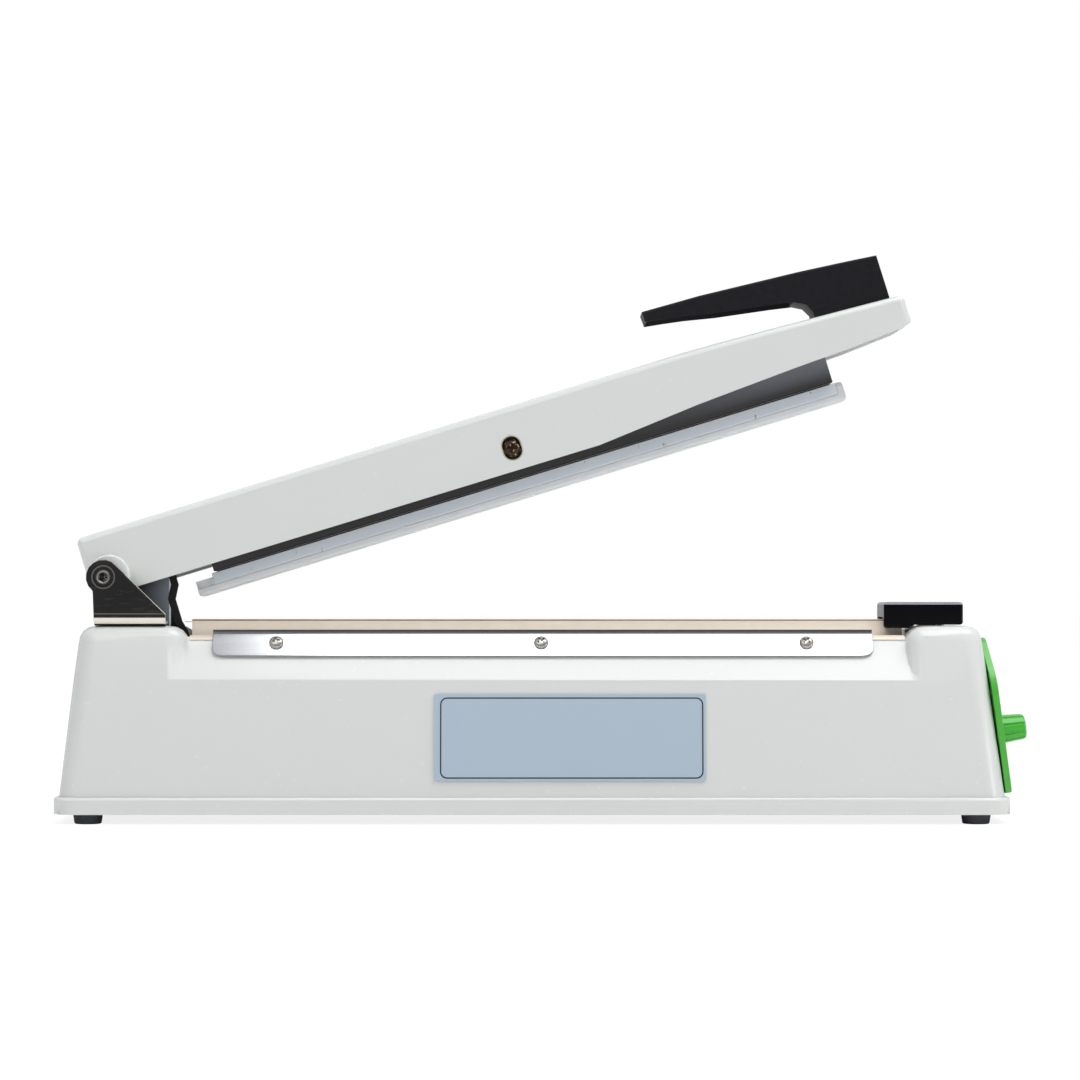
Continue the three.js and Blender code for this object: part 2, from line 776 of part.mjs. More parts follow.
function bracketScrewPlaces() {
  return bothSides((side) => [
    [bracketLeftScrewX, side * bracketLeftScrewY],
    [bracketRightScrewX, side * bracketRightScrewY],
  ]).flat();
}

function blockScrewPlaces() {
  return bothSides((side) => [blockRight - blockScrewInset, side * blockScrewY]);
}

function panelScrewPlaces() {
  return bothSides((side) => [side * panelScrewY, alongEnd(panelScrewZ)]);
}

function addFeet(group) {
  atCorners((sideX, sideY, index) => {
    const place = [sideX * footX, sideY * footY, 0];
    addPiece(group, `foot_${index + 1}`, rubber, foot()).position.set(...place);
    addPiece(group, `foot_screw_${index + 1}`, zinc, footScrew()).position.set(...place);
  });
}

// The tape's section: over the bed, down its sides, and out on both slopes under the cover plates.
function tapeSection() {
  const side = (outer) => {
    const inner = outer ? 0 : tapeThickness;
    const wallY = tapeWidth / 2 - inner;
    const top = tapeTop - inner;
    const low = valleyHeight + tapeLift + (outer ? tapeThickness : 0);
    const edge = valleyFlat / 2 + (low - valleyHeight) * Math.tan(slopeAngle / 2);
    const reach = tapeSkirt;
    return [
      [wallY - tapeRound, top],
      [wallY, top - tapeRound],
      [wallY, low],
      [edge, low],
      [edge + reach * Math.cos(slopeAngle), low - reach * Math.sin(slopeAngle)],
    ];
  };
  const outer = side(true);
  const inner = side(false).reverse();
  const mirror = (points) => points.map(([y, z]) => [-y, z]).reverse();
  return roundedShape([...mirror(outer), ...outer, ...inner, ...mirror(inner)]);
}

function addSealBed(group) {
  const bed = roundedRectangle(-bedWidth / 2, bedWidth / 2, bedBottom, bedTop, padHeight);
  addPiece(group, 'seal_bed', aluminium, prism(bed, bedLeft, bedRight, alongX));
  addPiece(group, 'bed_pad', padWhite, boxBetween(
    [bedLeft, bedRight], [-padWidth / 2, padWidth / 2], [padBottom, padBottom + padHeight]));
  addPiece(group, 'heating_element', nichrome, boxBetween(
    [ribbonLeft, ribbonRight],
    [-ribbonWidth / 2, ribbonWidth / 2],
    [ribbonBottom, ribbonBottom + ribbonThickness]));
  addPiece(group, 'ptfe_tape', tan, prism(tapeSection(), tapeLeft, tapeRight, alongX));
  addPiece(group, 'terminal_left', brass, boxBetween(
    [bedLeft - fitGap - leftTerminalThickness, bedLeft - fitGap],
    [-leftTerminalWidth / 2, leftTerminalWidth / 2],
    [bedBottom, ribbonBottom - seatGap]));
  addPiece(group, 'terminal_right', brass, boxBetween(
    [ribbonRight - rightTerminalLength, ribbonRight],
    [-rightTerminalWidth / 2, rightTerminalWidth / 2],
    [humpHeight + seatGap, ribbonBottom - seatGap]));
}

// A cover plate in its slope frame: one folded strip with an upright lip and rounded lower corners.
function coverPlate(side) {
  const [x0, x1] = side > 0 ? [-plateRight, -plateLeft] : [plateLeft, plateRight];
  const low = plateTopRise - plateFace;
  const outer = plateLift + plateThickness;
  const fold = Math.PI / 2 - slopeAngle;
  const tip = [plateTopRise + plateLip * Math.cos(fold), plateLift + plateLip * Math.sin(fold)];
  const strip = prism(roundedShape([
    [low, plateLift],
    [plateTopRise, plateLift],
    tip,
    [tip[0] - plateThickness * Math.sin(fold), tip[1] + plateThickness * Math.cos(fold)],
    [plateTopRise - plateThickness * Math.tan(fold / 2), outer],
    [low, outer],
  ]), x0, x1, alongX);
  const top = plateTopRise + plateLip + cutOver;
  const outline = roundedShape([
    [x0 - cutOver, top], [x0, low, plateCorner], [x1, low, plateCorner], [x1 + cutOver, top]]);
  const holes = plateScrewShares.map((share) => rod(
    screwHole, -cutOver, outer + cutOver, alongZ, plateScrewX(share, side), -plateScrewDrop));
  return cutAll(strip.intersect(prism(outline, 0, outer + plateLip, alongZ)), holes);
}

function addCoverPlates(group) {
  for (const [side, place] of [[-1, 'front'], [1, 'rear']]) {
    const frame = slopeFrame(side);
    group.add(frame);
    addPiece(frame, `cover_plate_${place}`, steel, coverPlate(side));
    plateScrewShares.forEach((share, index) => {
      const name = `cover_screw_${place}_${index + 1}`;
      const screw = addPiece(frame, name, steel, panScrew(screwHeadRadius, screwLength));
      screw.position.set(plateScrewX(share, side), -plateScrewDrop, plateLift + plateThickness);
    });
  }
}

function terminalCover() {
  const half = blockWidth / 2;
  const top = blockBottom + blockHeight;
  const side = roundedShape([
    [blockLeft, blockBottom - blockDrop, blockRound],
    [blockLeft + blockDropLength, blockBottom - blockDrop, 0],
    [blockLeft + blockDropLength + blockDropRun, blockBottom, 0],
    [blockRight, blockBottom, 0],
    [blockRight, top, blockRound],
    [blockLeft, top, blockRound],
  ]);
  const section = roundedShape([
    [-half, blockBottom - blockDrop, 0], [half, blockBottom - blockDrop, 0],
    [half, top, blockRound], [-half, top, blockRound]]);
  const block = prism(side, -half, half, alongY).intersect(
    prism(section, blockLeft - cutOver, blockRight + cutOver, alongX));
  const tunnel = boxBetween(
    [blockLeft - cutOver, blockRight - blockPocketEnd],
    [-blockTunnelWidth / 2, blockTunnelWidth / 2],
    [blockBottom - blockDrop - cutOver, blockBottom + blockPocketTop]);
  const holes = blockScrewPlaces().map(([x, y]) => rod(
    screwHole, blockBottom - cutOver, blockBottom + blockScrewDepth + cutOver, alongZ, x, y));
  return cutAll(block, [tunnel, ...holes]);
}

function addTerminalCover(group) {
  addPiece(group, 'terminal_cover', blackPlastic, terminalCover());
  blockScrewPlaces().forEach(([x, y], index) => {
    const length = wall + blockLift + blockScrewDepth;
    const name = `terminal_cover_screw_${index + 1}`;
    const screw = addPiece(group, name, zinc, panScrew(screwHeadRadius, length));
    screw.position.set(x, y, humpHeight - wall);
    screw.rotation.x = Math.PI;
  });
}

function hingeBracket() {
  const half = bracketWidth / 2;
  const low = humpHeight + seatGap;
  const high = pivotZ + earRadius + cutOver;
  const channel = (inset, top) => prism(
    roundedShape([
      [-half + inset, low + inset, bracketBend - inset], [half - inset, low + inset, bracketBend - inset],
      [half - inset, top, 0], [inset - half, top, 0]]),
    pivotX - earRadius, pivotX + earRight, alongX);
  const ear = new THREE.Shape();
  ear.moveTo(pivotX - earLeftBottom, low - cutOver);
  ear.lineTo(pivotX + earRight, low - cutOver);
  ear.lineTo(pivotX + earRight, pivotZ - earShoulderDrop);
  ear.lineTo(pivotX + earSlopeX, pivotZ + earSlopeZ);
  const from = Math.atan2(earSlopeZ, earSlopeX);
  const to = Math.PI + Math.acos(earLeftTop / earRadius);
  ear.absarc(pivotX, pivotZ, earRadius, from, to, false);
  const sheet = channel(0, high).subtract(channel(bracketSheet, high + cutOver));
  const notch = boxBetween(
    [leverSlotLeft, pivotX + earRight + cutOver],
    [-leverSlotWidth / 2, leverSlotWidth / 2],
    [low - cutOver, low + bracketSheet + cutOver]);
  const holes = bracketScrewPlaces().map(([x, y]) => rod(
    screwHole, low - cutOver, low + bracketSheet + cutOver, alongZ, x, y));
  const boltBore = rod(boltHole, -half - cutOver, half + cutOver, alongY, pivotX, pivotZ);
  const outline = prism(ear, -half - cutOver, half + cutOver, alongY);
  return cutAll(sheet.intersect(outline), [notch, ...holes, boltBore]);
}

function addHinge(group) {
  addPiece(group, 'hinge_bracket', darkSteel, hingeBracket());
  const face = bracketWidth / 2;
  const bolt = turned([
    [0, -face - seatGap - boltHeadHeight + boltDimpleDepth],
    [boltDimpleRadius, -face - seatGap - boltHeadHeight + boltDimpleDepth],
    [boltDimpleRadius, -face - seatGap - boltHeadHeight],
    [boltHeadRadius, -face - seatGap - boltHeadHeight],
    [boltHeadRadius, -face - seatGap],
    [boltRadius, -face - seatGap],
    [boltRadius, face + seatGap + nutHeight],
    [0, face + seatGap + nutHeight],
  ], smallSides);
  const boltMesh = addPiece(group, 'hinge_bolt', steel, bolt);
  boltMesh.position.set(pivotX, 0, pivotZ);
  boltMesh.rotation.x = -Math.PI / 2;
  const nut = rod(nutRadius, face + seatGap, face + seatGap + nutHeight, alongY, pivotX, pivotZ, 6)
    .subtract(rod(boltHole, face, face + nutHeight + cutOver, alongY, pivotX, pivotZ));
  addPiece(group, 'hinge_nut', zinc, nut);
  bracketScrewPlaces().forEach(([x, y], index) => {
    const screw = addPiece(group, `bracket_screw_${index + 1}`, zinc, panScrew(screwHeadRadius, screwLength));
    screw.position.set(x, y, humpHeight + seatGap + bracketSheet);
  });
}

function springCoil() {
  const low = standTop + seatGap + springWire;
  const high = springTop - springWire;
  const steps = springTurns * springStepsPerTurn;
  const rings = Array.from({ length: steps + 1 }, (_, step) => {
    const turn = (2 * Math.PI * step) / springStepsPerTurn;
    const z = THREE.MathUtils.lerp(low, high, step / steps);
    return Array.from({ length: springSides }, (_, side) => {
      const roll = (2 * Math.PI * side) / springSides;
      const out = springRadius + (springWire / 2) * Math.cos(roll);
      return [springX + out * Math.cos(turn), out * Math.sin(turn), z + (springWire / 2) * Math.sin(roll)];
    }).reverse();
  });
  return loft(rings, ([x, , z]) => new THREE.Vector2(-x, z));
}

function addSwitchGear(group) {
  const half = standWidth / 2;
  const floor = bottomTop + seatGap;
  const channel = boxBetween([standLeft, standRight], [-half, half], [floor, standTop])
    .subtract(boxBetween(
      [standLeft + standSheet, standRight - standSheet],
      [-half - cutOver, half + cutOver],
      [floor - cutOver, standTop - standSheet]));
  const leftFlange = [standLeft - standFlange, standLeft + standSheet];
  const rightFlange = [standRight - standSheet, standRight + standFlange];
  const flanges = [leftFlange, rightFlange]
    .map((span) => boxBetween(span, [-half, half], [floor, floor + standSheet]));
  addPiece(group, 'spring_stand', zinc, joinAll([channel, ...flanges]));
  addPiece(group, 'return_spring', steel, springCoil());
  const low = standTop + seatGap;
  const plungerX = switchLeft + switchWidth / 2;
  const plungerY = switchFront + switchDepth / 2;
  const high = low + switchHeight;
  const bore = rod(
    plungerGuide, high - plungerDepth - plungerTravel, high + cutOver, alongZ, plungerX, plungerY);
  addPiece(group, 'micro_switch', blackPlastic, boxBetween(
    [switchLeft, switchLeft + switchWidth], [switchFront, switchFront + switchDepth], [low, high])
    .subtract(bore));
  addPiece(group, 'switch_plunger', brass, rod(
    plungerRadius, high - plungerDepth + fitGap, high + plungerRise, alongZ, plungerX, plungerY));
}

// A frame on the panel's outer face: its Z points out of the panel.
function panelScrewFrame(y, z) {
  const frame = new THREE.Group();
  frame.position.set(fitGap + panelThickness, y, z);
  frame.rotation.y = Math.PI / 2;
  return frame;
}

function countersink() {
  return turned([
    [0, -panelThickness - cutOver],
    [screwHole, -panelThickness - cutOver],
    [screwHole, -panelScrewRim - panelScrewCone],
    [panelScrewHead + seatGap, -panelScrewRim],
    [panelScrewHead + seatGap, cutOver],
    [0, cutOver],
  ], smallSides);
}

function countersunkScrew() {
  return turned([
    [0, -screwLength],
    [screwRadius, -screwLength],
    [screwRadius, -panelScrewRim - panelScrewCone],
    [panelScrewHead, -panelScrewRim],
    [panelScrewHead, 0],
    [0, 0],
  ], smallSides);
}

function timerPanel() {
  const low = alongEnd(panelBottom);
  const shoulder = alongEnd(panelShoulder);
  const top = alongEnd(panelTop);
  const outline = roundedShape([
    [-panelHalfWidth, low, panelCorner], [panelHalfWidth, low, panelCorner],
    [panelHalfWidth, shoulder, 2 * panelCorner], [panelTopHalfWidth, top, panelCorner],
    [-panelTopHalfWidth, top, panelCorner], [-panelHalfWidth, shoulder, 2 * panelCorner]]);
  const plate = prism(outline, fitGap, fitGap + panelThickness, alongX);
  const through = [0, fitGap + panelThickness + cutOver];
  const holes = panelScrewPlaces().map(([y, z]) => inFrame(panelScrewFrame(y, z), countersink()));
  const bushHole = rod(bushRadius + fitGap, ...through, alongX, 0, 0);
  const lampHole = rod(lampRadius + fitGap, ...through, alongX, 0, alongEnd(lampHeight));
  return cutAll(plate, [...holes, bushHole, lampHole]);
}

// One ring of the fluted knob, at a distance from its foot.
function knobRing(along, shrink) {
  const radius = knobRadius - along * Math.tan(knobTaper) - shrink;
  const pitch = (2 * Math.PI) / knobFlutes;
  const ridge = (pitch / 2) * knobRidgeShare;
  const groove = (pitch / 2) * knobGrooveShare;
  const base = panelThickness + fitGap + knobLift;
  return Array.from({ length: knobFlutes }, (_, flute) => {
    const middle = pitch * flute;
    const corners = [[-ridge, 1], [ridge, 1], [groove, knobFluteShare], [pitch - groove, knobFluteShare]];
    return corners.map(([turn, share]) => [
      base + along, radius * share * Math.cos(middle + turn), radius * share * Math.sin(middle + turn)]);
  }).flat();
}

function timerKnob() {
  const middle = knobRound * Math.SQRT1_2;
  const start = knobLength - knobRound;
  const tip = [knobRing(start + middle, knobRound - middle), knobRing(knobLength, knobRound)];
  const body = loft([knobRing(0, 0), knobRing(start, 0), ...tip], seenAlongX);
  const base = panelThickness + fitGap + knobLift;
  return body.subtract(rod(shaftRadius + fitGap, base - cutOver, base + shaftInsert, alongX));
}

function addTimer(group) {
  group.add(endFrame);
  addPiece(endFrame, 'timer_panel', greenPlastic, timerPanel());
  addPiece(endFrame, 'timer_knob', greenPlastic, timerKnob());
  const face = panelThickness + fitGap;
  const shaftEnd = face + knobLift + shaftInsert - fitGap;
  addPiece(endFrame, 'timer_shaft', zinc, rod(shaftRadius, -potDepth / 2, shaftEnd, alongX));
  const pot = rod(potRadius, -potDepth, 0, alongX, 0, 0, roundSides)
    .add(rod(bushRadius, -cutOver, face, alongX))
    .subtract(rod(shaftRadius + fitGap / 2, -potDepth / 2 - fitGap, face + cutOver, alongX));
  addPiece(endFrame, 'potentiometer', zinc, pot);
  const boardFace = -potDepth - fitGap;
  addPiece(endFrame, 'timer_board', boardGreen, boxBetween(
    [boardFace - boardThickness, boardFace],
    [-boardWidth / 2, boardWidth / 2],
    [-boardHeight / 2, boardHeight / 2]));
  addPiece(endFrame, 'lamp_lens', lampRed, rod(
    lampRadius, face - lampDepth, face, alongX, 0, alongEnd(lampHeight)));
  panelScrewPlaces().forEach(([y, z], index) => {
    const frame = panelScrewFrame(y, z);
    endFrame.add(frame);
    addPiece(frame, `panel_screw_${index + 1}`, zinc, countersunkScrew());
  });
}

function addLabel(group) {
  const frame = sideFrame((labelLeft + labelRight) / 2, (labelBottom + labelTop) / 2, -1);
  group.add(frame);
  const half = (labelRight - labelLeft) / 2;
  const rise = (labelTop - labelBottom) / 2;
  addPiece(frame, 'label_plate', labelGrey, prism(
    roundedRectangle(-half, half, -rise, rise, labelCorner), -fitGap - labelThickness, -fitGap, alongY));
}

function addCordGland(group) {
  const frame = sideFrame(glandX, glandZ, 1);
  group.add(frame);
  const bushing = turned([
    [glandCord, -glandInside],
    [glandNeck, -glandInside],
    [glandInner, -wall - fitGap],
    [glandNeck, -wall - fitGap],
    [glandNeck, fitGap],
    [glandRadius, fitGap],
    [glandRadius - seatGap, glandProud],
    [glandCord, glandProud],
    [glandCord, -glandInside],
  ], smallSides);
  addPiece(frame, 'cord_gland', blackPlastic, bushing).rotation.x = -Math.PI / 2;
}

function addTransformer(group) {
  const floor = bottomTop + seatGap;
  const half = coreLength / 2;
  const ring = (x0, x1, y, z0, z1) => boxBetween([coreX + x0, coreX + x1], [-y, y], [z0, z1]);
  const windowEdge = half - coreLimb;
  const windows = bothSides((side) => {
    const span = [side * coreLimb, side * windowEdge].sort((a, b) => a - b);
    return ring(...span, coreDepth, floor + coreLimb, floor + coreHeight - coreLimb);
  });
  addPiece(group, 'transformer_core', ironCore, cutAll(
    ring(-half, half, coreDepth / 2, floor, floor + coreHeight), windows));
  const coilHalf = coilLength / 2;
  const depth = coilDepth / 2;
  const outline = roundedRectangle(coreX - coilHalf, coreX + coilHalf, -depth, depth, coilCorner);
  const coil = prism(outline, floor + coreLimb + fitGap, floor + coreHeight - coreLimb - fitGap, alongZ)
    .subtract(ring(-coreLimb - fitGap, coreLimb + fitGap, coreDepth / 2 + fitGap, floor, floor + coreHeight));
  addPiece(group, 'transformer_coil', copper, coil);
}

function alongArm([along, up]) {
  return [armLeft + armLength * along, armBottom + armHeight * up];
}

// Height of the arm's top at a place along it.
function armTopAt(u) {
  const points = armTopShares.map(alongArm);
  const next = Math.max(1, points.findIndex(([along]) => along >= u));
  const [from, to] = [points[next - 1], points[next]];
  return THREE.MathUtils.mapLinear(u, from[0], to[0], from[1], to[1]);
}

function armShell(inset) {
  const half = armWidth / 2 - inset;
  const round = armRound - inset / 2;
  const rings = armTopShares.map(alongArm).map(([u, top]) => {
    const low = armBottom - armHeight;
    const arc = Array.from({ length: cornerSteps + 1 }, (_, step) => {
      const turn = (Math.PI / 2) * (step / cornerSteps);
      return [half - round + round * Math.cos(turn), top - inset - round + round * Math.sin(turn)];
    });
    const mirrored = arc.map(([y, v]) => [-y, v]).reverse();
    return [[-half, low], [half, low], ...arc, ...mirrored].map(([y, v]) => [u, y, v]);
  });
  const bar = loft(rings, seenAlongX);
  const plan = roundedRectangle(armLeft + inset, armRight - inset, -half, half, armEndRound - inset / 2);
  return bar.intersect(prism(plan, armBottom - armHeight, armTop + armHeight, alongZ));
}

function armHousing() {
  const tip = armBottom + armHeight * armTipShare;
  const above = armTop + armHeight;
  const side = roundedShape([
    [armLeft, armBottom, 0],
    ...armUndersideShares.map(alongArm).map(([u, v]) => [u, v, armTipRound]),
    [armRight, tip, armTipRound],
    [armRight, armTopAt(armRight), armTipRound],
    ...armTopShares.slice(0, -1).map(alongArm).reverse().map(([u, v]) => [u, v, 0]),
  ]);
  const shell = armShell(0).intersect(prism(side, -armWidth, armWidth, alongY)).subtract(armShell(armWall));
  const bosses = bothSides((sign) => {
    const span = [sign * (armWidth / 2 - armWall), sign * (earInner - bossGap)].sort((a, b) => a - b);
    return rod(bossRadius, ...span, alongY, 0, 0, roundSides);
  });
  const bore = rod(boltHole, -armWidth, armWidth, alongY, 0, 0);
  const slot = prism(
    roundedRectangle(
      centreU - centreSlotWidth / 2, centreU + centreSlotWidth / 2,
      centreV - centreSlotHeight / 2, centreV + centreSlotHeight / 2, centreSlotWidth / 2),
    -armWidth, armWidth, alongY);
  const screwHoles = handleScrewU.map((u) => rod(screwHole, 0, above, alongZ, u, 0));
  return cutAll(joinAll([shell, ...bosses]), [bore, slot, ...screwHoles]);
}

// Folded channel whose cheeks hang on the bolt, and whose foot presses the spring and the switch.
function liftLever() {
  const half = leverWidth / 2;
  const edge = [
    [leverRight, -leverLeft], [leverRight, carrierBottom], [leverNeck, -leverNeckTop],
    [leverNeck, -leverNeckBottom], [leverToe, -leverToeBend], [leverToe, -leverFootDrop]];
  const cheek = roundedShape([
    [leverLeft, leverTop, leverSheet], [leverLeft, leverLeft, leverSheet],
    [leverKneeU, leverKneeV, leverSheet], [leverHipU, leverHipV, leverSheet],
    [leverToe - leverFootLength / 2, -leverFootDrop, 0],
    ...[...edge].reverse(), [leverHipU, leverTop, leverSheet]]);
  const solid = prism(cheek, -half, half, alongY);
  const inside = roundedShape([
    [leverLeft - cutOver, leverTop + cutOver, 0], [leverLeft - cutOver, -leverFootDrop + leverSheet, 0],
    ...[...edge].reverse().slice(1).map(([u, v]) => [u - leverSheet, v, 0]),
    [leverRight - leverSheet, leverTop + cutOver, 0]]);
  const cheeks = solid.subtract(prism(inside, leverSheet - half, half - leverSheet, alongY))
    .subtract(boxBetween(
      [leverToe - leverFootLength, leverToe - leverSheet],
      [leverSheet - half, half - leverSheet],
      [-leverFootDrop - cutOver, leverSheet - leverFootDrop]));
  const footPlate = boxBetween(
    [leverToe - leverFootLength, leverToe], [-half, half], [-leverFootDrop, leverSheet - leverFootDrop]);
  return cheeks.add(footPlate).subtract(rod(boltHole, -armWidth, armWidth, alongY));
}

function handleOutline(inset) {
  const gripLength = handleFootRight - handleTopLeft;
  const foot = armTopAt(handleFootRight);
  const rise = handleTopV - foot;
  const place = ([along, up]) => [handleTopLeft + gripLength * along, foot + rise * up];
  const seat = (u) => armTopAt(u) + fitGap - inset * 2;
  const top = handleTopShares.map(place).reverse();
  const under = handleUnderShares.map(place);
  const corners = [
    [handleFootLeft + inset, seat(handleFootLeft), 0],
    [handleFootRight - inset, seat(handleFootRight), 0],
    [handleFootRight - inset, top[0][1] - inset, handleRound],
    ...top.slice(1, -1).map(([u, v]) => [u, v - inset, 0]),
    [handleTopLeft + inset, handleTopV - inset, handleRound],
    [handleTopLeft + inset, handleTopV - handleTipDepth - inset * 2, handleRound],
    ...under.reverse().map(([u, v]) => [u + inset, v - inset * 2, handleRound]),
  ];
  return roundedShape(corners);
}

function armHandle() {
  const half = handleWidth / 2;
  const body = prism(handleOutline(0), -half, half, alongY);
  const core = prism(handleOutline(handleWall), handleWall - half, half - handleWall, alongY);
  const gripLength = handleFootRight - handleTopLeft;
  const ribs = handleRibShares.map((share) => {
    const u = handleTopLeft + gripLength * share;
    return boxBetween([u, u + handleWall / 2], [-half, half], [armTop, handleTopV]);
  });
  const posts = handleScrewU.map((u) => rod(postRadius, armTopAt(u) + fitGap, handleTopV, alongZ, u, 0));
  const solidParts = joinAll([...ribs, ...posts]).intersect(body);
  const holes = handleScrewU.map((u) => rod(
    screwHole, 0, armTopAt(u) + fitGap + handleScrewDepth, alongZ, u, 0));
  return cutAll(body.subtract(core).add(solidParts), holes);
}

function addArm(arm) {
  addPiece(arm, 'arm_housing', whitePaint, armHousing());
  addPiece(arm, 'lift_lever', darkSteel, liftLever());
  addPiece(arm, 'arm_handle', blackPlastic, armHandle());
  handleScrewU.forEach((u, index) => {
    const length = armWall + handleScrewDepth - fitGap;
    const screw = addPiece(arm, `handle_screw_${index + 1}`, zinc, panScrew(screwHeadRadius, length));
    screw.position.set(u, 0, armTopAt(u) - armWall - fitGap);
    screw.rotation.x = Math.PI;
  });
}

function barCarrier() {
  const half = carrierWidth / 2;
  const channel = boxBetween(
    [carrierLeft, carrierRight], [-half, half], [carrierBottom, carrierBottom + carrierSide]);
  const inside = boxBetween(
    [carrierLeft - cutOver, carrierRight + cutOver],
    [carrierSheet - half, half - carrierSheet],
    [carrierBottom + carrierSheet, carrierBottom + carrierSide + cutOver]);
  const hole = rod(centreShankRadius + fitGap / 2, -half - cutOver, half + cutOver, alongY, centreU, centreV);
  return cutAll(channel, [inside, hole]);
}

function addPressureBar(arm) {
  addPiece(arm, 'bar_carrier', darkSteel, barCarrier());
  const half = barWidth / 2;
  const top = carrierBottom - fitGap;
  const groove = barGroove / 2;
  const bar = roundedShape([
    [-half, barBottom, 0], [-groove, barBottom, 0], [-groove, top - barWeb, 0], [groove, top - barWeb, 0],
    [groove, barBottom, 0], [half, barBottom, 0], [half, top, 0], [-half, top, 0]]);
  addPiece(arm, 'pressure_bar', aluminium, prism(bar, barLeft, barRight, alongX));
  const neck = groove - fitGap;
  const side = stripWidth / 2;
  const shelf = barBottom - stripLipDrop;
  const strip = roundedShape([
    [-side, stripBottom, stripRound], [side, stripBottom, stripRound], [side, shelf, 0], [neck, shelf, 0],
    [neck, top - barWeb - fitGap, 0], [-neck, top - barWeb - fitGap, 0],
    [-neck, shelf, 0], [-side, shelf, 0]]);
  const ends = roundedShape([
    [stripLeft, stripBottom, stripRound], [stripRight, stripBottom, stripRound],
    [stripRight, top, stripRound], [stripLeft, top, 0]]);
  const cap = roundedRectangle(-side, side, stripBottom, top, stripRound);
  addPiece(arm, 'silicone_strip', silicone, prism(strip, stripLeft, stripRight, alongX)
    .add(prism(cap, barRight + fitGap, stripRight, alongX))
    .intersect(prism(ends, -armWidth, armWidth, alongY)));
  addCentreScrew(arm);
}

function addCentreScrew(arm) {
  const face = armWidth / 2;
  const inner = carrierWidth / 2 + fitGap;
  const screw = turned([
    [0, -face - centreHeadProud + centreSocketDepth],
    [centreSocketRadius, -face - centreHeadProud],
    [centreHeadRadius - seatGap, -face - centreHeadProud],
    [centreHeadRadius, -face],
    [centreHeadRadius, -inner],
    [centreShankRadius, -inner],
    [centreShankRadius, inner + centreNutHeight],
    [0, inner + centreNutHeight],
  ], smallSides);
  const mesh = addPiece(arm, 'bar_pivot_screw', brass, screw);
  mesh.position.set(centreU, 0, centreV);
  mesh.rotation.x = -Math.PI / 2;
  const nut = rod(centreNutRadius, inner, inner + centreNutHeight, alongY, centreU, centreV, 6)
    .subtract(rod(centreShankRadius + fitGap / 2, 0, face + cutOver, alongY, centreU, centreV));
  addPiece(arm, 'bar_pivot_nut', zinc, nut);
}

const sealer = new THREE.Group();
addPiece(sealer, 'base_housing', whitePaint, baseHousing());
addPiece(sealer, 'bottom_plate', zinc, bottomPlate());
addFeet(sealer);
addSealBed(sealer);
addCoverPlates(sealer);
addTerminalCover(sealer);
addHinge(sealer);
addSwitchGear(sealer);
addTimer(sealer);
addLabel(sealer);
addCordGland(sealer);
addTransformer(sealer);

const arm = new THREE.Group();
arm.position.set(pivotX, 0, pivotZ);
arm.rotation.y = -openAngle;
addArm(arm);
addPressureBar(arm);
sealer.add(arm);

// The part stands with the middle of its length over the origin, so it is moved by half of what
// the knob adds beyond the rim.
const knobEnd = panelThickness + fitGap + knobLift + knobLength;
const knobTipRadius = knobRadius - knobLength * Math.tan(knobTaper) - knobRound;
const knobReach = endFrame.position.x + knobEnd * Math.cos(rightDraft) + knobTipRadius * Math.sin(rightDraft);
sealer.position.x = (rimLength / 2 - knobReach) / 2;

export default sealer;
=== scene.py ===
"""Dressed model of an impulse sealer: a heated seal bed, and an arm that presses a bag on it."""

import math

import bmesh
import bpy
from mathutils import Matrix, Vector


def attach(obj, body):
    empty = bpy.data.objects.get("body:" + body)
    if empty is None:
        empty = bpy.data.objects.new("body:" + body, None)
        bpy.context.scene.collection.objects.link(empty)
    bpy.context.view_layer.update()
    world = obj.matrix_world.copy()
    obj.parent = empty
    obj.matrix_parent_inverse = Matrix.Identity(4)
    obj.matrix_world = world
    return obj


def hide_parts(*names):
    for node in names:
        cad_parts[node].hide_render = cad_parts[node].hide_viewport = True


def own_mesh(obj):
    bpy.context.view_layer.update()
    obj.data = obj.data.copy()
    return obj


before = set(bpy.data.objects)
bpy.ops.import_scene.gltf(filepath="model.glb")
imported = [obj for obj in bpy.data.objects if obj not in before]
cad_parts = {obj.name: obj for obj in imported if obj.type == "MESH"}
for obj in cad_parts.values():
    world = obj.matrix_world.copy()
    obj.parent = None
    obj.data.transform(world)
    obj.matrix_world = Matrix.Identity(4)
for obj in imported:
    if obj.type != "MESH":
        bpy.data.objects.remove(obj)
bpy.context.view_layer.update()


# Studio. A pale floor, a white backdrop, a dimmer room behind the camera with a dark flag beside its
# softbox, three soft lamps, and a camera level with the seal bed, one and a half metres in front.
scene = bpy.context.scene
scene.view_settings.view_transform = "Standard"


class Signal:
    """A socket of a shader, so that sums over a surface read as sums."""

    def __init__(self, finish, socket):
        self.finish = finish
        self.socket = socket

    def maths(self, operation, *values):
        return self.finish.node("Math", {"operation": operation}, dict(enumerate((self, *values))))

    def __add__(self, other):
        return self.maths("ADD", other)

    def __sub__(self, other):
        return self.maths("SUBTRACT", other)

    def __rsub__(self, other):
        return self * -1 + other

    def __mul__(self, other):
        return self.maths("MULTIPLY", other)

    def __truediv__(self, other):
        return self.maths("DIVIDE", other)

    def __lt__(self, other):
        return self.maths("LESS_THAN", other)

    def __gt__(self, other):
        return self.maths("GREATER_THAN", other)

    def __abs__(self):
        return self.maths("ABSOLUTE")

    def root(self):
        return self.maths("SQRT")

    def most(self, other):
        return self.maths("MAXIMUM", other)

    def least(self, other):
        return self.maths("MINIMUM", other)

    def held(self):
        return self.most(0).least(1)

    __radd__ = __add__
    __rmul__ = __mul__


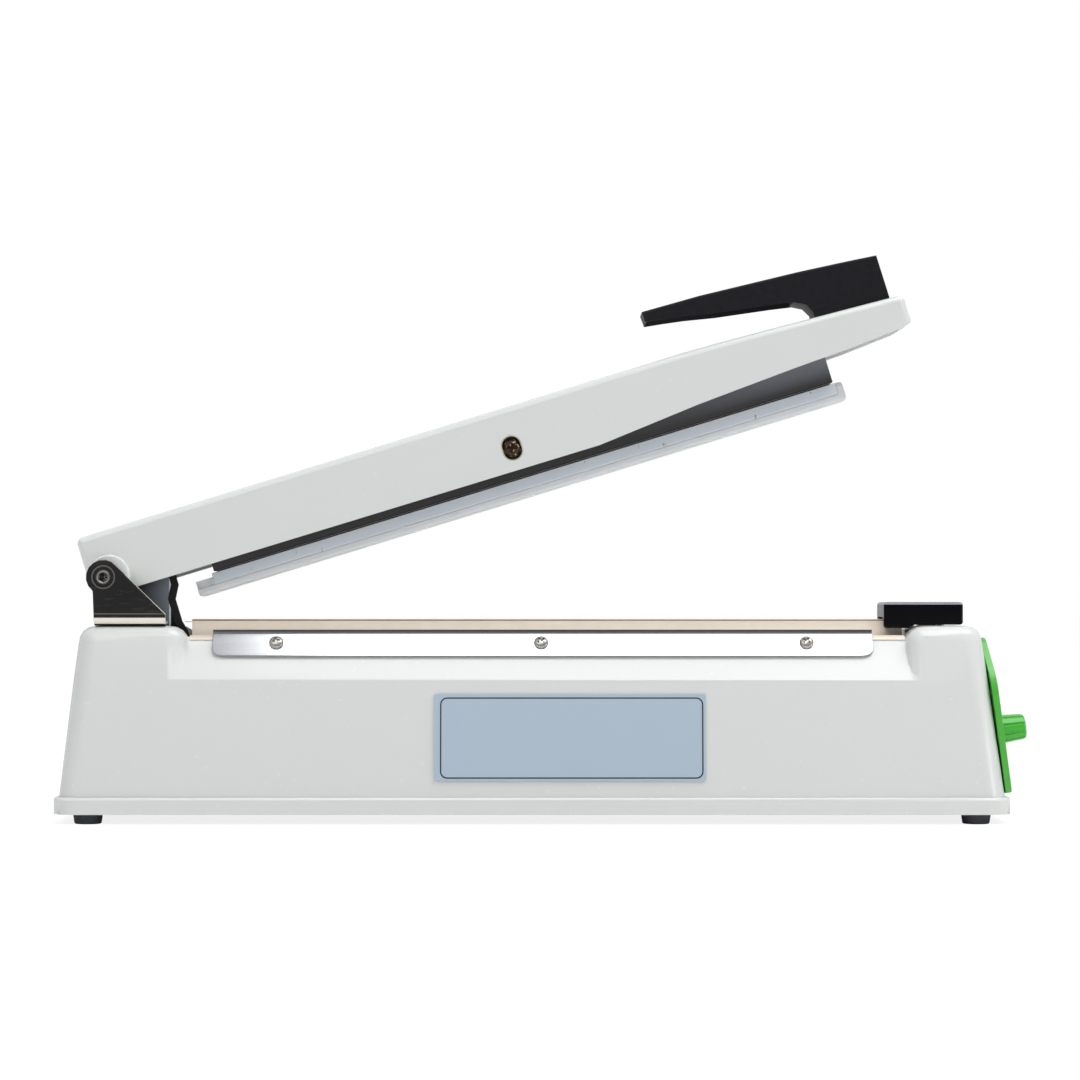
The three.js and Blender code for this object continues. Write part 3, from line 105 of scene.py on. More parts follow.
class Finish:
    """The nodes of one material, or of the world."""

    def __init__(self, owner):
        owner.use_nodes = True
        self.owner = owner
        self.nodes = owner.node_tree.nodes
        self.links = owner.node_tree.links

    def feed(self, socket, value):
        if isinstance(value, Signal):
            self.links.new(value.socket, socket)
        elif isinstance(value, tuple) and len(value) < len(socket.default_value):
            socket.default_value = (*value, 1)
        else:
            socket.default_value = value

    def node(self, kind, settings=None, sockets=None, output=0):
        made = self.nodes.new("ShaderNode" + kind)
        for name, value in (settings or {}).items():
            if name == "stops":
                ramp = made.color_ramp.elements
                while len(ramp) < len(value):
                    ramp.new(1)
                for stop, (place, shade) in zip(ramp, value):
                    stop.position = place
                    stop.color = (*shade, 1) if isinstance(shade, tuple) else (shade, shade, shade, 1)
            else:
                setattr(made, name, value)
        for name, value in (sockets or {}).items():
            self.feed(made.inputs[name], value)
        return Signal(self, made.outputs[output])

    def blend(self, share, first, second):
        return self.node("Mix", {"data_type": "RGBA"}, {0: share, 6: first, 7: second}, 2)


def tone(red, green, blue):
    """A paint colour, given as it looks on a screen."""
    return tuple(((c / 255 + 0.055) / 1.055) ** 2.4 if c > 10 else c / 3295 for c in (red, green, blue))


white = (1, 1, 1)
surround = scene.world or bpy.data.worlds.new("surround")
scene.world = surround
air = Finish(surround)
seen = air.node("LightPath", output="Is Camera Ray").most(air.node("LightPath", output="Is Transmission Ray"))
heading = air.node("TexCoord", output="Generated")
sideways = air.node("SeparateXYZ", sockets={"Vector": heading}, output="X")
backwards = air.node("SeparateXYZ", sockets={"Vector": heading}, output="Y")
upwards = air.node("SeparateXYZ", sockets={"Vector": heading}, output="Z")
flag_middle, flag_half_width, flag_sharpness, flag_light = -0.23, 0.123, 60, 0.08
backdrop_light, room_light, room_shadow = 0.75, 0.66, 0.16
backdrop = (backwards * 4 - abs(sideways) * 1.6 + 0.3).held()
flag = ((abs(sideways - flag_middle) - flag_half_width) * flag_sharpness).held()
ceiling = (upwards * 1.7 - 0.25).held() * (flag * (1 - flag_light) + flag_light)
room = (backdrop * backdrop_light).most(ceiling) * room_light + room_shadow
air.feed(air.nodes["Background"].inputs["Color"], white)
air.feed(air.nodes["Background"].inputs["Strength"], seen + (1 - seen) * room)

bpy.ops.mesh.primitive_plane_add(size=60)
floor = bpy.context.object
floor.name = "floor"
ground = Finish(bpy.data.materials.new("pale_floor"))
floor.data.materials.append(ground.owner)
lit = ground.nodes["Principled BSDF"]
floor_grey, floor_glow, glow_share = 0.86, 1.17, 0.72
ground.feed(lit.inputs["Base Color"], (floor_grey, floor_grey, floor_grey))
ground.feed(lit.inputs["Roughness"], 1)
ground.feed(lit.inputs["Specular IOR Level"], 0)
glow = ground.node("Emission", sockets={"Color": white, "Strength": floor_glow})
floor_seen = ground.node("LightPath", output="Is Camera Ray") * glow_share
floor_mix = ground.node("MixShader", sockets={0: floor_seen, 1: Signal(ground, lit.outputs[0]), 2: glow})
ground.links.new(floor_mix.socket, ground.nodes["Material Output"].inputs["Surface"])


def soft_lamp(name, place, aim, width, height, power):
    bpy.ops.object.light_add(type="AREA", location=place)
    lamp = bpy.context.object
    lamp.name = name
    lamp.data.shape = "RECTANGLE"
    lamp.data.size = width
    lamp.data.size_y = height
    lamp.data.energy = power
    towards = Vector(aim) - lamp.location
    lamp.rotation_euler = towards.to_track_quat("-Z", "Y").to_euler()


soft_lamp("key_lamp", (-0.7, -1.5, 1.5), (0, 0, 0.1), 1.4, 1.0, 6.5)
soft_lamp("top_lamp", (0.59, -0.25, 1.9), (0.5, 0, 0.1), 1.8, 1.2, 20)
soft_lamp("fill_lamp", (2.0, -0.9, 0.25), (0, 0, 0.15), 0.8, 0.5, 4.5)

camera_place = (-0.00227, -1.5, 0.1007)
bpy.ops.object.camera_add(location=camera_place, rotation=(math.radians(90), 0, 0))
camera = bpy.context.object
camera.data.lens = 106.1
camera.data.shift_y = 0.0602
scene.camera = camera


# Base housing. Pressed sheet with a rolled rim at its foot and two raised ends, in a glossy
# off-white stoved enamel with the faint orange peel of sprayed paint.
def paint(name, **fixed):
    """A new material, and the sockets of its shader by name."""
    made = Finish(bpy.data.materials.new(name))
    made.shader = made.nodes["Principled BSDF"].inputs
    for socket, value in fixed.items():
        made.feed(made.shader[socket.replace("_", " ")], value)
    return made


def noise(finish, scale, detail=2, stretch=(1, 1, 1)):
    """Noise on the piece's own coordinates, finer along the axes with a larger stretch."""
    place = finish.node("TexCoord", output="Object")
    place = finish.node("Mapping", sockets={"Vector": place, "Scale": stretch})
    return finish.node("TexNoise", sockets={"Vector": place, "Scale": scale, "Detail": detail})


def grain(finish, height, depth):
    bump = finish.node("Bump", sockets={"Height": height, "Distance": depth, "Strength": 1})
    finish.feed(finish.shader["Normal"], bump)


def along(finish, axis):
    """One of the piece's coordinates, in millimetres."""
    place = finish.node("TexCoord", output="Object")
    return finish.node("SeparateXYZ", sockets={"Vector": place}, output=axis) * 1000


def colour(finish, shade):
    finish.feed(finish.shader["Base Color"], shade)


def surface(name, light, dark, cloud, gloss, fine, stretch=(1, 1, 1), **fixed):
    """A material that drifts between two tones, and whose gloss varies in a fine pattern.

    cloud and fine are the scales of the two patterns, gloss the least and the most roughness."""
    made = paint(name, **fixed)
    made.hue = made.blend(noise(made, cloud, 4), light, dark)
    colour(made, made.hue)
    spread = noise(made, fine, 3, stretch) * (gloss[1] - gloss[0])
    made.feed(made.shader["Roughness"], spread + gloss[0])
    return made


def overlay(finish, share, shade):
    """Lays another tone over a share of a surface that has one."""
    colour(finish, finish.blend(share, finish.hue, shade))


def enamel(name):
    """Stoved enamel, a shade off white, with the orange peel of sprayed paint."""
    made = surface(name, tone(227, 230, 228), tone(226, 229, 227), 40, (0.26, 0.28), 300,
                   Coat_Weight=0.3, Coat_Roughness=0.05)
    grain(made, noise(made, 420), 0.000004)
    return made


def work_on(*pieces):
    """Selects only these pieces."""
    bpy.ops.object.select_all(action="DESELECT")
    for piece in pieces:
        piece.select_set(True)
    bpy.context.view_layer.objects.active = pieces[0]


flat_within = math.radians(0.6)
weld_distance = 0.000005


def from_solid(name, node, body, finish, join_flats=True):
    """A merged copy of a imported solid, to be rounded and smoothed.

    join_flats joins its level triangles. On long tapering faces they can join in more than one way."""
    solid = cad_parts[node]
    piece = bpy.data.objects.new(name, solid.data.copy())
    scene.collection.objects.link(piece)
    piece.data.materials.clear()
    piece.data.materials.append(finish.owner)
    work_on(piece)
    bpy.ops.object.mode_set(mode="EDIT")
    bpy.ops.mesh.select_all(action="SELECT")
    bpy.ops.mesh.remove_doubles(threshold=weld_distance)
    if join_flats:
        bpy.ops.mesh.dissolve_limited(angle_limit=flat_within)
    bpy.ops.object.mode_set(mode="OBJECT")
    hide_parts(node)
    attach(piece, body)
    return piece


def apply(piece, kind, **settings):
    """Adds a modifier and applies it."""
    work_on(piece)
    change = piece.modifiers.new(kind.lower(), kind)
    for name, value in settings.items():
        setattr(change, name, value)
    bpy.ops.object.modifier_apply(modifier=change.name)


def round_edges(piece, width, steps=2, sharper_than=40, edge_finish=None):
    """Rounds the sharp edges, which may wear another finish than the faces."""
    worn = -1
    if edge_finish:
        piece.data.materials.append(edge_finish.owner)
        worn = len(piece.data.materials) - 1
    apply(piece, "BEVEL", width=width / 1000, segments=steps, limit_method="ANGLE",
          angle_limit=math.radians(sharper_than), miter_outer="MITER_ARC", material=worn)


def smooth(piece, sharper_than=35):
    work_on(piece)
    bpy.ops.object.shade_smooth_by_angle(angle=math.radians(sharper_than))
    apply(piece, "WEIGHTED_NORMAL", keep_sharp=True)


def coat(node, finish):
    """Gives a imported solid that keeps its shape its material."""
    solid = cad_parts[node]
    solid.data.materials.clear()
    solid.data.materials.append(finish.owner)


def pick(kind, test):
    """In edit mode, selects what passes a test of its middle and its heading, in millimetres.

    The heading is an edge's direction, made positive, or a face's normal."""
    bpy.ops.mesh.select_mode(type=kind)
    bpy.ops.mesh.select_all(action="DESELECT")
    mesh = bmesh.from_edit_mesh(bpy.context.object.data)
    for part in {"VERT": mesh.verts, "EDGE": mesh.edges, "FACE": mesh.faces}[kind]:
        if kind == "VERT":
            middle, toward = part.co, part.normal
        elif kind == "EDGE":
            ends = [end.co for end in part.verts]
            middle = (ends[0] + ends[1]) / 2
            toward = Vector([abs(c) for c in (ends[1] - ends[0]).normalized()])
        else:
            middle, toward = part.calc_center_median(), part.normal
        if test(middle * 1000, toward):
            part.select_set(True)
    mesh.select_flush_mode()
    bmesh.update_edit_mesh(bpy.context.object.data)


def slice_at(places):
    """Cuts the piece in edit mode across its length, at each place in millimetres."""
    for place in places:
        bpy.ops.mesh.select_all(action="SELECT")
        bpy.ops.mesh.bisect(plane_co=(place / 1000, 0, 0), plane_no=(1, 0, 0))


# The cuts keep the shading of the long faces apart from that of the raised end on the right.
raised_end_cuts = [120, 160, 168]
white_enamel = enamel("white_enamel")
housing = from_solid("housing_shell", "base_housing", "base", white_enamel, join_flats=False)
bpy.ops.object.mode_set(mode="EDIT")
slice_at(raised_end_cuts)
bpy.ops.object.mode_set(mode="OBJECT")
smooth(housing, 26)


# Bottom plate and feet. A zinc-plated closing plate, held by the screws of four moulded rubber
# feet that stand the sealer clear of the table.
zinc = surface("zinc_plate", tone(196, 198, 200), tone(168, 170, 174), 90, (0.22, 0.42), 240, Metallic=1)
coat("bottom_plate", zinc)

rubber = surface("foot_rubber", tone(38, 41, 46), tone(58, 61, 66), 500, (0.6, 0.8), 900)
grain(rubber, noise(rubber, 2500), 0.00003)
for number in range(1, 5):
    foot = from_solid(f"rubber_foot_{number}", f"foot_{number}", "base", rubber)
    round_edges(foot, 0.6)
    smooth(foot)
    coat(f"foot_screw_{number}", zinc)


# Seal bed. A heating ribbon on its backing pad, clamped at both ends, under a taut strip of
# tan non-stick glass cloth with a fine weave.
bed_metal = surface("bed_aluminium", tone(188, 190, 192), tone(168, 170, 172), 80,
                    (0.25, 0.45), 200, (0.05, 1, 1), Metallic=1)
ribbon = surface("nichrome_ribbon", tone(150, 146, 142), tone(120, 112, 106), 60,
                 (0.25, 0.45), 300, Metallic=1)
brass = surface("brass_clamp", tone(214, 178, 110), tone(180, 140, 82), 120, (0.22, 0.42), 300, Metallic=1)
silicone_pad = surface("backing_pad", tone(214, 214, 206), tone(196, 196, 188), 200, (0.6, 0.8), 400)
coat("seal_bed", bed_metal)
coat("bed_pad", silicone_pad)
coat("heating_element", ribbon)
coat("terminal_left", brass)
coat("terminal_right", brass)

cloth = surface("tan_glass_cloth", tone(255, 246, 232), tone(247, 231, 213), 90, (0.4, 0.55), 600)
threads = 9
warp = (along(cloth, "X") * threads).maths("SINE")
weft = (along(cloth, "Y") * threads).maths("SINE")
# A dark brown line along the top edge of the cloth.
top_line_low, top_line_high = 93.3, 93.95
dark_top_line = (along(cloth, "Z") > top_line_low) * (along(cloth, "Z") < top_line_high)
overlay(cloth, dark_top_line, tone(150, 128, 108))
grain(cloth, warp * weft * 0.5 + noise(cloth, 150), 0.00003)
tape = from_solid("glass_cloth_tape", "ptfe_tape", "base", cloth)
smooth(tape)


# Cover plates. One folded strip of polished steel along each side of the bed, held by three
# zinc-plated pan-head screws with a cross recess.
polish = surface("polished_steel", tone(232, 234, 238), tone(218, 221, 227), 30,
                 (0.07, 0.15), 300, (0.05, 1, 1), Metallic=1)
# Painted reflection: the plate is painted darker towards its top fold, where it mirrors a dark shade.
reflection_start, reflection_height = 86, 3.6
painted_fold_reflection = ((along(polish, "Z") - reflection_start) / reflection_height).held()
overlay(polish, painted_fold_reflection, tone(120, 124, 132))
# The plates' rounded edges wear a darker steel: a painted shade and reflection that outlines each plate.
edge_shade_steel = surface("painted_shade_edge_steel", tone(104, 106, 112), tone(84, 86, 92), 300, (0.3, 0.5), 500, Metallic=1)


def turned(name, profile, finish, steps=40):
    """A solid of revolution about Z: a profile of radius and height in millimetres, spun round."""
    bpy.ops.object.select_all(action="DESELECT")
    bpy.ops.mesh.primitive_plane_add(size=0.001)
    piece = bpy.context.object
    piece.name = name
    piece.data.materials.append(finish.owner)
    bpy.ops.object.mode_set(mode="EDIT")
    bpy.ops.mesh.select_mode(type="VERT")
    bpy.ops.mesh.select_all(action="SELECT")
    bpy.ops.mesh.merge(type="CENTER")
    here = (0, 0)
    for step, (radius, height) in enumerate(profile):
        move = ((radius - here[0]) / 1000, 0, (height - here[1]) / 1000)
        if step:
            bpy.ops.mesh.extrude_vertices_move(TRANSFORM_OT_translate={"value": move})
        else:
            bpy.ops.transform.translate(value=move)
        here = (radius, height)
    bpy.ops.mesh.select_all(action="SELECT")
    bpy.ops.mesh.spin(steps=steps, angle=2 * math.pi, center=(0, 0, 0), axis=(0, 0, 1))
    bpy.ops.mesh.select_all(action="SELECT")
    bpy.ops.mesh.remove_doubles(threshold=0.000002)
    bpy.ops.mesh.normals_make_consistent(inside=False)
    bpy.ops.object.mode_set(mode="OBJECT")
    return piece


def put(piece, place, turn=(0, 0, 0)):
    """Turns a piece by three angles in degrees, moves it by millimetres, and leaves both in its mesh."""
    work_on(piece)
    piece.rotation_euler = [math.radians(angle) for angle in turn]
    piece.location = [c / 1000 for c in place]
    bpy.ops.object.transform_apply(location=True, rotation=True, scale=True)


def bar(name, low, high, finish):
    """A rectangular start for a piece, between two corners in millimetres."""
    bpy.ops.object.select_all(action="DESELECT")
    middle = [(a + b) / 2000 for a, b in zip(low, high)]
    sides = [(b - a) / 1000 for a, b in zip(low, high)]
    bpy.ops.mesh.primitive_cube_add(size=1, location=middle, scale=sides)
    piece = bpy.context.object
    piece.name = name
    piece.data.materials.append(finish.owner)
    bpy.ops.object.transform_apply(location=True, rotation=True, scale=True)
    return piece


def cut(piece, cutter):
    apply(piece, "BOOLEAN", operation="DIFFERENCE", solver="EXACT", object=cutter)
    bpy.data.objects.remove(cutter)


def pan_screw(name, radius, height, shank, length, finish):
    """A screw that points down, its domed head resting on z = 0 and its recess a cross."""
    dome = [(math.cos(turn) * radius, height * (0.25 + 0.75 * math.sin(turn)))
            for turn in (math.radians(15 * step) for step in range(7))]
    profile = [(0, -length), (shank, -length), (shank, 0.02), (radius, 0.02), *dome[:-1], (0, height)]
    screw = turned(name, profile, finish, 32)
    arm_width, reach = radius * 0.17, radius * 0.55
    for size in ((reach, arm_width), (arm_width, reach)):
        recess = bar("recess", (-size[0], -size[1], height * 0.45), (size[0], size[1], height + 1), finish)
        cut(screw, recess)
    smooth(screw, 30)
    return screw


def copy_of(piece, name):
    twin = bpy.data.objects.new(name, piece.data.copy())
    scene.collection.objects.link(twin)
    return twin


def set_screws(pattern, places, nodes, body):
    """Copies a screw to each place, tilted and spun, in place of the solid of each name."""
    for node, (place, turn, spin) in zip(nodes, places):
        screw = copy_of(pattern, "detailed_" + node)
        put(screw, (0, 0, 0), (0, 0, spin))
        put(screw, place, turn)
        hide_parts(node)
        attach(screw, body)


plate_screw_x = (-124.56, -1.73, 121.4)
slope = 52.22
plate_screw_y, plate_screw_z = 23.27, 83.11
nickel = surface("nickelled_screw", tone(226, 224, 216), tone(138, 134, 126), 330,
                 (0.2, 0.35), 500, Metallic=0.9)
screw = pan_screw("screw_pattern", 3.4, 2.2, 1.5, 7, nickel)
for side, sign in (("front", -1), ("rear", 1)):
    plate = from_solid(f"folded_plate_{side}", f"cover_plate_{side}", "base", polish)
    round_edges(plate, 0.3, 2, 30, edge_shade_steel)
    smooth(plate)
    places = [((x, sign * plate_screw_y, plate_screw_z), (-sign * slope, 0, 0), 23 * index + 12)
              for index, x in enumerate(plate_screw_x)]
    nodes = [f"cover_screw_{side}_{number}" for number in (1, 2, 3)]
    set_screws(screw, places, nodes, "base")
bpy.data.objects.remove(screw)


# Terminal cover. A glossy black moulded block over the ribbon's right-hand clamp, held by two
# screws, with a painted highlight as a thin bright line along its top edge.
gloss_black = surface("gloss_black_moulding", tone(10, 10, 14), tone(14, 13, 18), 40, (0.12, 0.2), 200,
                      Specular_IOR_Level=0.1)
# Painted highlight: a thin bright band along the block's top edge.
top_highlight_low, top_highlight_high = 100.9, 101.95
painted_top_highlight = (along(gloss_black, "Z") > top_highlight_low) * (along(gloss_black, "Z") < top_highlight_high)
overlay(gloss_black, painted_top_highlight, tone(150, 152, 166))
block = from_solid("terminal_block", "terminal_cover", "base", gloss_black)
round_edges(block, 1.1, 4)
smooth(block)
for number in (1, 2):
    coat(f"terminal_cover_screw_{number}", zinc)


# Hinge bracket. Folded steel with two ears, blackened and oiled, with painted near-white highlights and
# reflections along its edges and across its foot bend, screwed to the raised end and carrying the pivot bolt.
pivot = (-204.371, 0, 113.6)


def from_pivot(finish):
    """Distance from the pivot's axis, in millimetres."""
    aside, above = along(finish, "X") - pivot[0], along(finish, "Z") - pivot[2]
    return (aside * aside + above * above).root()


black_steel = surface("blackened_steel", tone(50, 48, 49), tone(30, 28, 29), 60,
                      (0.25, 0.45), 500, (0.2, 1, 1), Metallic=0.6)
rise = along(black_steel, "Z")
# Painted reflection: a near-white band across the foot bend, where the bent steel mirrors the bright table.
bend_reflection_low, bend_reflection_high, glint_height, bolt_ring_radius = 92, 94.8, 96.6, 5.2
painted_bend_reflection = (rise > bend_reflection_low) * (rise < bend_reflection_high)
glint = abs(rise - glint_height) < 0.25
ring_round_bolt = abs(from_pivot(black_steel) - bolt_ring_radius) < 0.3
scuff = (noise(black_steel, 900, 4, (0.12, 1, 1)) > 0.6) * 0.04
# A thin light line across the ear (the glint), a light ring round the bolt, and fine scuffs.
glint_ring_and_scuffs = (glint.most(ring_round_bolt) * 0.4).most(scuff)
with_glint_ring_and_scuffs = black_steel.blend(glint_ring_and_scuffs, black_steel.hue, tone(170, 168, 166))
# Painted highlight: the ear's sloped top edge, past a slanted plane, is painted in the same near-white.
painted_slant_highlight = along(black_steel, "X") * 0.702 + rise * 0.711 > -54.9
colour(black_steel, black_steel.blend(painted_bend_reflection.most(painted_slant_highlight), with_glint_ring_and_scuffs, tone(244, 240, 226)))
# The rounded edges wear a near-white steel: painted highlights along the bracket's edges.
edge_highlight_steel = surface("painted_highlight_edge_steel", tone(250, 248, 242), tone(226, 222, 214), 300,
                     (0.25, 0.45), 500, Metallic=0.2)
bracket = from_solid("folded_bracket", "hinge_bracket", "base", black_steel)
round_edges(bracket, 0.8, 3, 40, edge_highlight_steel)
smooth(bracket)
bolt_steel = surface("bolt_steel", tone(150, 148, 146), tone(110, 108, 106), 90,
                     (0.2, 0.35), 240, Metallic=0.6)
# Painted shade in the bolt's recess: dark, with a few painted glints.
recess_radius = 2.05
core = from_pivot(bolt_steel) < recess_radius
painted_recess_glints = noise(bolt_steel, 900, 1) * 5 - 2.9
recess_shade_and_glints = bolt_steel.blend(painted_recess_glints.held(), tone(30, 28, 28), tone(226, 224, 220))
overlay(bolt_steel, core, recess_shade_and_glints)
bolt_profile = [
    (0, -33.6), (0.9, -33.6), (1.1, -33), (1.9, -33), (2.15, -34.8), (2.5, -35.1), (2.9, -35), (3.3, -34.4),
    (3.3, -33.7), (2.6, -33.7), (2.6, 24.7), (0, 24.7)]
bolt = turned("pivot_bolt", bolt_profile, bolt_steel)
put(bolt, (0, 0, 6.05))
put(bolt, pivot, (-90, 0, 0))
smooth(bolt, 30)
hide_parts("hinge_bolt")
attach(bolt, "base")
coat("hinge_nut", zinc)
for number in range(1, 5):
    coat(f"bracket_screw_{number}", zinc)


# Lift lever and spring. The lever, folded from blued steel, reaches down from the arm into the
# housing, where a coiled spring lifts it and a small switch feels it.
lever_steel = surface("blued_lever_steel", tone(58, 62, 67), tone(46, 50, 54), 60,
                      (0.85, 0.95), 400, (1, 1, 0.2), Specular_IOR_Level=0.05)
inward = along(lever_steel, "X")
# Painted light on the lever: the near cheek is painted lighter towards the fold, the web past the fold is
# painted in shade, and a painted highlight runs along the fold.
outer_face, shade_start, shade_width = -16.2, -190, 15
fold_highlight_x, web_start, web_face = -174.7, -174.4, -177
near_face = along(lever_steel, "Y") < outer_face
painted_cheek_light = ((inward - shade_start) / shade_width).held() * near_face
cheek = lever_steel.blend(painted_cheek_light, lever_steel.hue, tone(112, 118, 126))
folded_in = ((inward > web_start) + (inward > web_face) * (1 - near_face)).held()
painted_web_shade = lever_steel.blend(folded_in, cheek, tone(22, 23, 26))
on_fold_highlight = (abs(inward - fold_highlight_x) < 0.4) * near_face
painted_fold_highlight = lever_steel.blend(on_fold_highlight, painted_web_shade, tone(190, 196, 202))
colour(lever_steel, painted_fold_highlight)
lever = from_solid("folded_lever", "lift_lever", "arm", lever_steel)
round_edges(lever, 0.5, 2, 40)
smooth(lever)
coat("spring_stand", zinc)
spring = from_solid("coiled_return_spring", "return_spring", "base", zinc)
smooth(spring, 60)
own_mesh(spring)
coat("switch_plunger", brass)
coat("micro_switch", rubber)


# Timer. A green moulded end panel with printed dial marks and a fluted knob, and the lamp,
# potentiometer and board behind it.
green = surface("green_moulding", tone(72, 196, 54), tone(60, 182, 44), 50, (0.25, 0.35), 300,
                Coat_Weight=0.4, Coat_Roughness=0.08)
knob_cap, pointer_foot, pointer_half = 225.2, 43, 0.5
pointer = (abs(along(green, "Y")) < pointer_half) * (along(green, "Z") > pointer_foot)
pointer = pointer * (along(green, "X") > knob_cap)
printed = tone(235, 238, 232)
overlay(green, pointer, printed)
dial = surface("green_panel_with_dial", tone(76, 188, 56), tone(66, 174, 50), 50, (0.3, 0.4), 300,
               Coat_Weight=0.4, Coat_Roughness=0.08)
dial_middle, panel_lean, mark_start, mark_end = 41.3, 1.009, 11.5, 14.5
across, up = along(dial, "Y"), (along(dial, "Z") - dial_middle) * panel_lean
reach = (across * across + up * up).root()
swing = across.maths("ARCTAN2", up) * (180 / math.pi)
half_sweep, half_step, half_mark = 135, 13.5, 1.3
spacing = abs((swing + half_sweep).maths("PINGPONG", half_step))
mark = (reach > mark_start) * (reach < mark_end) * (spacing < half_mark) * (abs(swing) < half_sweep + 1.5)
overlay(dial, mark, printed)
grain(dial, noise(dial, 1400), 0.00002)
panel = from_solid("green_panel", "timer_panel", "base", dial)
round_edges(panel, 0.9, 3)
smooth(panel)
knob = from_solid("green_knob", "timer_knob", "knob", green)
round_edges(knob, 0.25, 2, 25)
smooth(knob, 50)
for node in ("timer_shaft", "potentiometer", "panel_screw_1", "panel_screw_2"):
    coat(node, zinc)
circuit = surface("circuit_board", tone(24, 92, 52), tone(30, 104, 60), 60, (0.35, 0.5), 200)
tracks = noise(circuit, 160, 1) > 0.56
overlay(circuit, tracks, tone(60, 136, 84))
coat("timer_board", circuit)
red_lens = surface("red_lens", tone(196, 40, 28), tone(170, 26, 18), 200, (0.12, 0.2), 300, Coat_Weight=0.5)
coat("lamp_lens", red_lens)


# Label plate. A thin printed film in blue-grey, glued to the front of the housing. It is bare
# inside its frame line.
label_film = surface("label_film", tone(184, 201, 217), tone(178, 195, 211), 9, (0.34, 0.44), 500,
                     Coat_Weight=0.3, Coat_Roughness=0.12)
label_middle, frame_half, corner_radius = (12.3, 39.6), (57.2, 15.3), 3
label_x = abs(along(label_film, "X") - label_middle[0]) - frame_half[0]
label_z = abs(along(label_film, "Z") - label_middle[1]) - frame_half[1]
outside = (label_x.most(0) * label_x.most(0) + label_z.most(0) * label_z.most(0)).root()
line = abs(outside + label_x.most(label_z).least(0) - corner_radius) < 0.32
overlay(label_film, line, tone(24, 30, 42))
coat("label_plate", label_film)


# Cord gland and transformer. A rubber gland in the rear wall, and inside the housing a laminated
# core with its copper winding.
coat("cord_gland", rubber)
laminated = surface("laminated_iron", tone(120, 122, 126), tone(80, 82, 86), 900,
                    (0.4, 0.6), 400, Metallic=1)
coat("transformer_core", laminated)
winding = surface("copper_winding", tone(196, 118, 74), tone(150, 84, 50), 700,
                  (0.3, 0.5), 500, Metallic=1)
coat("transformer_coil", winding)


# Arm housing. One tapered channel pressed from sheet, open below, with a boss on each cheek round
# the pivot bolt, in the same enamel as the base.
def level(places, line):
    """Height of a line through pairs of length and height, at each place."""
    heights = []
    for place in places:
        after = next(i for i, point in enumerate(line) if point[0] >= place - 0.001)
        (a, low), (b, high) = line[max(after - 1, 0)], line[after]
        heights.append(high if a == b else low + (high - low) * (place - a) / (b - a))
    return heights


def contour(places, flat, line, chosen):
    """Moves the points of one flat side to the heights of a line."""
    for place, height in zip(places, level(places, line)):
        pick("VERT", lambda p, n, at=place: abs(p.x - at) < 0.05 and chosen(p))
        bpy.ops.transform.translate(value=(0, 0, (height - flat) / 1000))


open_angle = 17


def length_and_height(finish):
    """Distance from the pivot along the open arm and square to it, in millimetres."""
    lean = math.radians(open_angle)
    forward, upward = along(finish, "X") - pivot[0], along(finish, "Z") - pivot[2]
    cosine, sine = math.cos(lean), math.sin(lean)
    return forward * cosine + upward * sine, upward * cosine - forward * sine


def hang(piece):
    """Turns a piece drawn along the arm, with the pivot at the origin, into its open place."""
    put(piece, pivot, (0, -open_angle, 0))
    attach(piece, "arm")


arm_enamel = enamel("arm_enamel")
length, height = length_and_height(arm_enamel)
screw_length, screw_height = 198.4, 2.2
off_slot = abs(height - screw_height) - 1.15
beside = length - screw_length
round_slot = (off_slot.most(0) * off_slot.most(0) + beside * beside).root()
overlay(arm_enamel, round_slot < 4.95, tone(196, 190, 168))
arm_start, arm_end, arm_floor, arm_roof, arm_half = -8.3, 393.5, -8.4, 21.1, 20
arm_top = [(-8.3, 21.1), (232.8, 21.4), (287, 21.45), (305.1, 21.04), (333.2, 20), (393.5, 17.5)]
arm_under = [(-8.3, -8.4), (238, -8.4), (287.8, -3.7), (338.1, -0.5), (362.2, 0.5),
             (387.1, 2.6), (393.5, 4.1)]
edge_radius, sheet_thickness = 0.0032, 0.0022
stations = [-8.3, 120, 232.8, 238, 262, 287.4, 305.1, 320, 333.2, 345, 362.2, 375, 387.1, 393.5]
arm = bar("arm_shell", (arm_start, -arm_half, arm_floor), (arm_end, arm_half, arm_roof), arm_enamel)
bpy.ops.object.mode_set(mode="EDIT")
slice_at(stations[1:-1])
contour(stations, arm_roof, arm_top, lambda p: p.z > 12)
contour(stations, arm_floor, arm_under, lambda p: p.z < 5)
pick("FACE", lambda p, n: n.z < -0.7)
bpy.ops.mesh.delete(type="FACE")
pick("EDGE", lambda p, d: (abs(p.y) > 19.9 and d.x > 0.9 and p.z > 12)
     or ((p.x < -8 or p.x > 393) and (d.z > 0.9 or (d.y > 0.9 and p.z > 12))))
bpy.ops.mesh.bevel(offset=edge_radius, segments=5, profile=0.5, affect="EDGES")
bpy.ops.mesh.select_all(action="SELECT")
bpy.ops.mesh.normals_make_consistent(inside=False)
bpy.ops.object.mode_set(mode="OBJECT")
apply(arm, "SOLIDIFY", thickness=sheet_thickness, offset=-1, use_even_offset=True)
slot = bar("slot", (194.1, -30, -3.25), (202.7, 30, 7.65), arm_enamel)
bpy.ops.object.mode_set(mode="EDIT")
pick("EDGE", lambda p, d: d.y > 0.9)
bpy.ops.mesh.bevel(offset=0.0042, segments=8, profile=0.5, affect="EDGES")
bpy.ops.object.mode_set(mode="OBJECT")
cut(arm, slot)
boss_profile = [(5.2, 17.9), (10.1, 17.9), (10.1, 24), (9.2, 25.2), (5.2, 25.2), (5.2, 17.9)]
